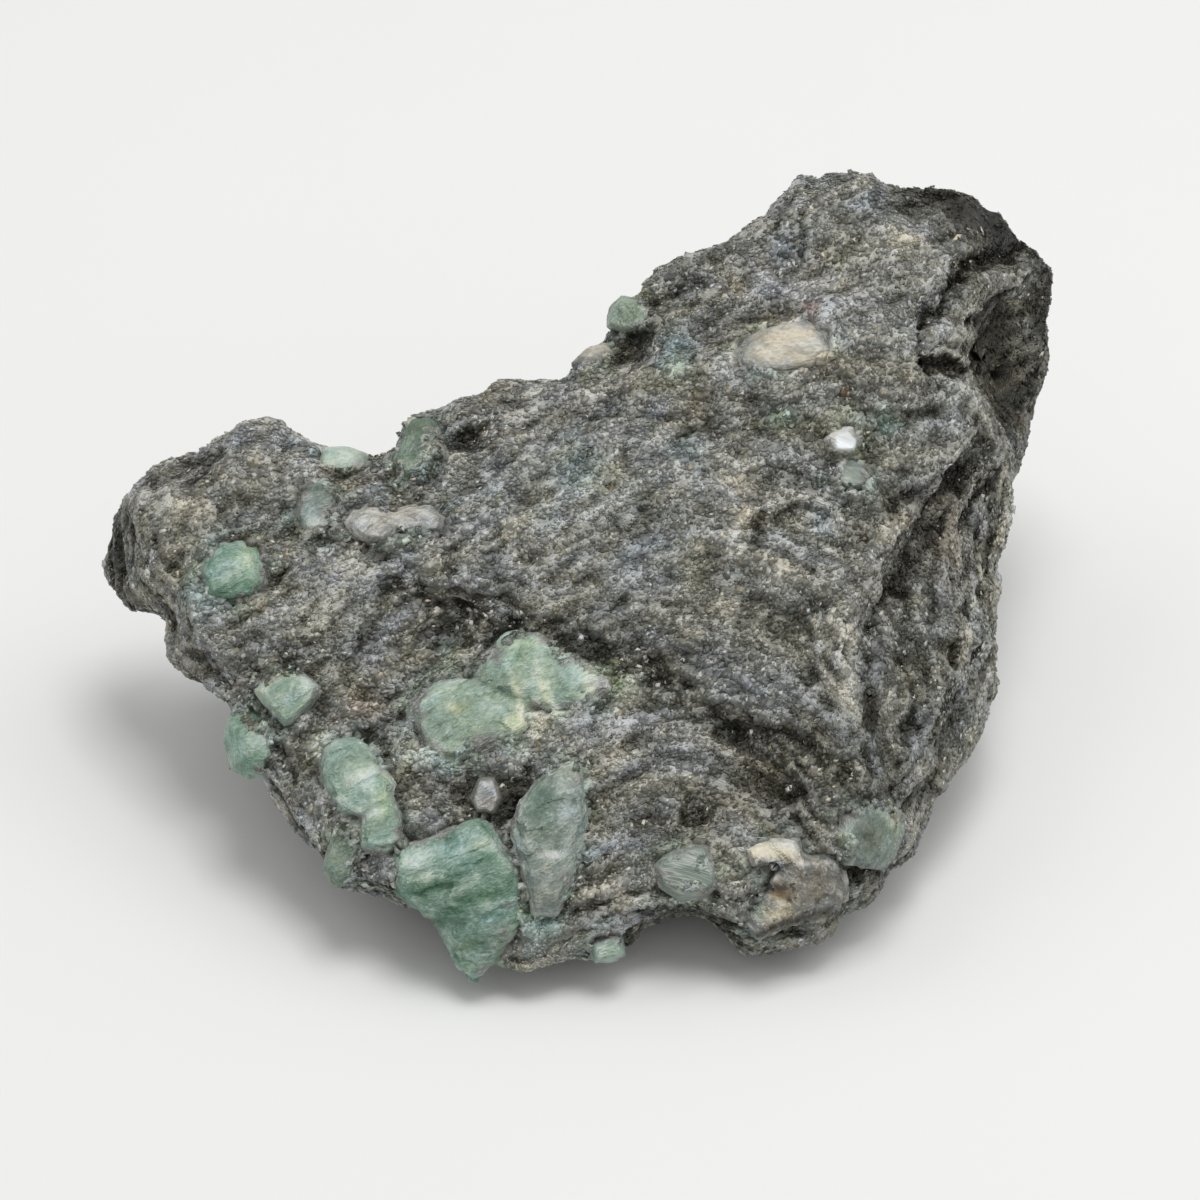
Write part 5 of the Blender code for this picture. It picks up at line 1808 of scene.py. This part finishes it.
@dataclass(frozen=True)
class MicaFlakes:
    """Thousands of mica flakes on the rock, in joined pieces.

    A few are painted lightest as glints, some are paler, darker or more cream-coloured than the
    rest, and those in hollows get painted shade.
    """

    SIDES = 5

    pieces: int = 5
    flakes_in_piece: int = 18000
    shapes: int = 6
    length: float = 0.54
    length_spread: float = 0.34
    length_limits: tuple[float, float] = (0.25, 1.3)
    length_waves: Pattern = Pattern(24, size=3.5, strength=0.35)
    depth: float = 0.22
    width: tuple[float, float] = (0.36, 0.66)
    raggedness: float = 0.2
    stand_off: float = 0.035
    tilt: float = 0.15
    spin: float = 0.60
    sleek_thinning: float = 0.8
    crowds: Pattern = Pattern(23, size=3.0, layers=2, strength=1.2)
    tone_spread: float = 0.05
    # Painted shade: how much darker flakes in hollows are.
    hollow_darkening: float = 0.20
    # Where the flakes that are painted lightest as glints crowd.
    glints: Pattern = Pattern(29, size=3.0, layers=2, strength=2.0)
    pale_share: float = 0.12
    pale_tone: float = 0.22
    dark_share: float = 0.05
    dark_tone: float = 0.14
    cream_share: float = 0.05
    cream: Triple = (1.10, 1.00, 0.80)

    def patterns(self) -> np.ndarray:
        """Model a few uneven flakes, each a shallow pyramid on its point.

        Returns:
            For each, its rim points and the root under them, for a flake one long.
        """
        shapes = []
        draw = np.random.default_rng(21)
        for _ in range(self.shapes):
            deselect_all()
            bpy.ops.mesh.primitive_cone_add(
                vertices=self.SIDES, radius1=0.5, radius2=0.0, depth=self.depth,
                end_fill_type="NGON", rotation=(math.pi, 0.0, 0.0))
            flake = bpy.context.object
            bpy.ops.object.transform_apply(location=True, rotation=True, scale=True)
            edit_all(flake)
            bpy.ops.transform.resize(value=(1.0, float(draw.uniform(*self.width)), 1.0))
            bpy.ops.object.mode_set(mode="OBJECT")
            points = np.array([vert.co for vert in flake.data.vertices])
            top = points[:, 2].max()
            rim = points[points[:, 2] > top - 1e-4]
            root = points[points[:, 2] < top - 1e-4]
            turn = np.argsort(np.arctan2(rim[:, 1], rim[:, 0]))
            ragged = draw.uniform(-self.raggedness, self.raggedness, (self.SIDES, 1))
            rim = rim[turn] * (1.0 + ragged)
            rim[:, 2] = 0.0
            shapes.append(np.concatenate((rim, root[:1] - (0.0, 0.0, top))))
            bpy.data.objects.remove(flake, do_unlink=True)
        return np.array(shapes)

    def build(self, palette: Palette, rock: bpy.types.Object) -> list[bpy.types.Object]:
        """Scatter the flakes over the bare rock.

        Args:
            palette: The materials.
            rock: The finished skin.

        Returns:
            The joined pieces.
        """
        spots = self.spots(rock)
        shapes = self.patterns()
        made = []
        for number in range(self.pieces):
            first = number * self.flakes_in_piece
            share = spots.share(slice(first, first + self.flakes_in_piece))
            piece = self.joined(f"mica_flakes_{number + 1}", share, shapes)
            piece.data.materials.append(palette.flake)
            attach(piece, "root")
            made.append(piece)
        return made

    def weights(self, rock: bpy.types.Object, corners: np.ndarray,
                places: np.ndarray) -> np.ndarray:
        """Find how likely a flake is to lie on each of the rock's triangles.

        Args:
            rock: The finished skin.
            corners: The three points of each triangle, by number.
            places: Where they are, in millimetres.

        Returns:
            A weight for each triangle.
        """
        crossed = np.cross(places[:, 1] - places[:, 0], places[:, 2] - places[:, 0])
        area = np.linalg.norm(crossed, axis=1)
        bare = read_values(rock, Kept.BARE)[corners].min(1)
        above = ease((places[:, :, 2].min(1) - 0.05) / 0.3)
        seen = 0.45 + 0.55 * seen_share(unit(crossed))
        sleek = read_values(rock, Kept.SLEEK)[corners].max(1)
        dense = 0.6 + 0.4 * ease(0.5 + self.crowds.at(places.mean(1)))
        thinned = 1.0 - self.sleek_thinning * sleek
        return area * (bare > 0.5) * above * seen * dense * thinned

    def spots(self, rock: bpy.types.Object) -> FlakeSpots:
        """Choose where each flake sits, which way it faces, its size, tone and tint.

        Args:
            rock: The finished skin.

        Returns:
            All the flakes.
        """
        draw = np.random.default_rng(22)
        mesh = rock.data
        mesh.calc_loop_triangles()
        corners = np.empty(len(mesh.loop_triangles) * 3, int)
        mesh.loop_triangles.foreach_get("vertices", corners)
        corners = corners.reshape(-1, 3)
        places = points_of(rock)[corners]
        weight = self.weights(rock, corners, places)
        count = self.pieces * self.flakes_in_piece
        chosen = draw.choice(len(weight), count, p=weight / weight.sum())
        share = draw.dirichlet((1.0, 1.0, 1.0), count)
        place = (places[chosen] * share[:, :, None]).sum(1)
        first = corners[chosen, 0]
        smooth = unit(neighbour_mean(rock, normals_of(rock), 3)[first])
        facing = unit(smooth + self.tilt * draw.normal(size=(count, 3)))
        # Painted shade on flakes that lie in hollows.
        hollow = np.maximum(read_values(rock, Kept.HOLLOW)[first], -0.3)
        tone = read_values(rock, Kept.TONE)[first] - self.hollow_darkening * hollow
        tone = tone + self.tone_spread * draw.normal(size=count)
        luck = draw.uniform(size=count)
        tone = np.where(luck < self.pale_share, tone + self.pale_tone, tone)
        # Painted glints: a few flakes are made lightest.
        painted_glint = 0.008 + 0.05 * ease(self.glints.at(place) - 0.1)
        tone = np.where(luck < painted_glint, 1.0, tone)
        tone = np.where(luck > 1.0 - self.dark_share, tone - self.dark_tone, tone)
        tint = read_colours(rock, Kept.TINT)[first]
        cream = (draw.uniform(size=count) < self.cream_share)[:, None]
        tint = np.where(cream, tint * self.cream, tint)
        size = self.length * np.exp(self.length_spread * draw.normal(size=count))
        size *= 1.0 + self.length_waves.at(place)
        size *= 0.55 + 0.45 * ease(np.abs(smooth @ VIEW.toward) / 0.4)
        turn = self.spin * draw.normal(size=count)
        return FlakeSpots(place, facing, self.ways(place, smooth),
                          np.clip(size, *self.length_limits), turn, tone, tint,
                          draw.integers(0, self.shapes, count))

    def ways(self, place: np.ndarray, smooth: np.ndarray) -> np.ndarray:
        """Find which way flakes point: by the streaks, or by the layers' edges on the sides.

        Args:
            place: Where the flakes lie.
            smooth: The way out of the rock there.

        Returns:
            The way of each flake's length.
        """
        on_edge = ease((0.8 - np.abs(smooth @ SPLIT)) / 0.3)[:, None]
        along = ROCK.along(place)
        edge = np.cross(smooth, SPLIT)
        edge *= np.sign((edge * along).sum(1))[:, None]
        return along * (1.0 - on_edge) + edge * on_edge

    def joined(self, name: str, spots: FlakeSpots, shapes: np.ndarray) -> bpy.types.Object:
        """Put a share of the flakes in one mesh.

        Args:
            name: The piece's name.
            spots: The flakes.
            shapes: The flakes' patterns.

        Returns:
            The joined piece.
        """
        facing = spots.facing
        along = unit(spots.along - (spots.along * facing).sum(1)[:, None] * facing)
        over = np.cross(facing, along)
        cosine = np.cos(spots.turn)[:, None]
        sine = np.sin(spots.turn)[:, None]
        first = along * cosine + over * sine
        second = over * cosine - along * sine
        flake = shapes[spots.kind] * spots.size[:, None, None]
        centre = spots.place + facing * self.stand_off
        points = (centre[:, None] + flake[:, :, :1] * first[:, None]
                  + flake[:, :, 1:2] * second[:, None] + flake[:, :, 2:] * facing[:, None])
        inside = in_box(points.reshape(-1, 3), 0.0)
        mesh = self.flake_mesh(name, inside)
        piece = bpy.data.objects.new(name, mesh)
        bpy.context.scene.collection.objects.link(piece)
        corners = self.SIDES + 1
        set_values(piece, Kept.TONE, np.repeat(spots.tone, corners))
        set_colours(piece, Kept.TINT, np.repeat(spots.tint, corners, axis=0))
        set_vectors(piece, Kept.GRAIN, ROCK.grain(inside))
        return piece

    def flake_mesh(self, name: str, points: np.ndarray) -> bpy.types.Mesh:
        """Mesh flakes: a top with the rim's corners, and a triangle from each side to the root.

        Args:
            name: The mesh's name.
            points: Each flake's rim points and its root, flake after flake, in millimetres.

        Returns:
            The mesh.
        """
        sides = self.SIDES
        base = np.arange(0, len(points), sides + 1)[:, None]
        rims = [base + np.arange(sides)]
        rims += [base + ((step + 1) % sides, step, sides) for step in range(sides)]
        loops = np.concatenate(rims, axis=1)
        start = np.concatenate(((0,), sides + 3 * np.arange(sides)))
        starts = np.arange(len(base))[:, None] * loops.shape[1] + start
        mesh = bpy.data.meshes.new(name)
        mesh.vertices.add(len(points))
        mesh.loops.add(loops.size)
        mesh.polygons.add(starts.size)
        mesh.loops.foreach_set("vertex_index", loops.ravel().astype(np.int32))
        mesh.polygons.foreach_set("loop_start", starts.ravel().astype(np.int32))
        mesh.vertices.foreach_set("co", (points * MM).ravel())
        mesh.update(calc_edges=True)
        mesh.validate()
        return mesh


@dataclass(frozen=True)
class Lamp:
    """A soft square lamp over the table, by where it stands and how strong it is."""

    name: str
    bearing: float
    height: float
    size: float
    power: float
    distance: float = 0.6

    def add(self) -> None:
        """Hang the lamp and aim it at the chunk."""
        bearing = math.radians(self.bearing)
        height = math.radians(self.height)
        place = self.distance * Vector((math.sin(bearing) * math.cos(height),
                                        -math.cos(bearing) * math.cos(height),
                                        math.sin(height)))
        deselect_all()
        bpy.ops.object.light_add(type="AREA", location=place)
        lamp = bpy.context.object
        lamp.name = self.name
        lamp.data.size = self.size
        lamp.data.energy = self.power
        lamp.rotation_euler = (-place).to_track_quat("-Z", "Y").to_euler()


@dataclass(frozen=True)
class Studio:
    """A pale table, soft light from above and from both sides, and the camera."""

    table_size: float = 4.0
    table_drop: float = 0.02 * MM
    table_colour: Triple = (0.845, 0.85, 0.84)
    table_roughness: float = 0.7
    mottle_scale: float = 30.0
    mottle_shade: float = 0.985
    sky: float = 0.46
    sky_colour: Triple = (1.0, 1.0, 0.995)
    lamps: tuple[Lamp, ...] = (
        Lamp("lamp_above", 120.0, 84.0, 0.25, 1.42),
        Lamp("lamp_right", 96.0, 58.0, 0.42, 0.80),
        Lamp("lamp_left", 245.0, 50.0, 0.35, 0.34),
    )

    def table_top(self) -> bpy.types.Material:
        """Build the table's material.

        Returns:
            The material, pale and faintly mottled.
        """
        material, bench, shader = new_material("table_top")
        place = bench.add("ShaderNodeTexCoord").outputs["Object"]
        mottle = bench.noise(place, self.mottle_scale, Detail=3.0)
        dim = tuple(self.mottle_shade * part for part in self.table_colour)
        bench.feed(shader, {
            "Base Color": bench.blend(mottle, (*dim, 1.0), (*self.table_colour, 1.0)),
            "Roughness": self.table_roughness})
        return material

    def build(self) -> None:
        """Set up the table, the lights and the camera."""
        deselect_all()
        bpy.ops.mesh.primitive_plane_add(size=self.table_size,
                                         location=(0.0, 0.0, -self.table_drop))
        table = bpy.context.object
        table.name = "table"
        bpy.ops.object.transform_apply(location=True, rotation=True, scale=True)
        table.data.materials.append(self.table_top())
        world = bpy.data.worlds.new("studio")
        bpy.context.scene.world = world
        world.use_nodes = True
        NodeBench(world.node_tree).feed(world.node_tree.nodes["Background"], {
            "Color": (*self.sky_colour, 1.0), "Strength": self.sky})
        for lamp in self.lamps:
            lamp.add()
        VIEW.add_camera()
        bpy.context.scene.view_settings.view_transform = "Standard"


def report(piece: bpy.types.Object) -> None:
    """Log a finished piece."""
    LOG.info("%s: %d faces", piece.name, len(piece.data.polygons))


def main() -> None:
    """Build the chunk piece by piece."""
    logging.basicConfig(level=logging.INFO, format="%(name)s %(message)s")
    palette = Palette()
    bare_solid = copy_solid("schist", "schist_surface")
    solid = surface_tree(bare_solid)
    bpy.data.objects.remove(bare_solid, do_unlink=True)
    surface = CrystalSurface()
    for number, (node, look) in enumerate(LOOKS.items()):
        piece = Crystal(node, look, 100 + 3 * number).build(palette, solid)
        surface.add(piece, look.rim)
        report(piece)
    surface.close()
    rock = SchistSkin().build(palette, surface)
    report(rock)
    for piece in MicaFlakes().build(palette, rock):
        report(piece)
    Studio().build()


if __name__ == "__main__":
    main()
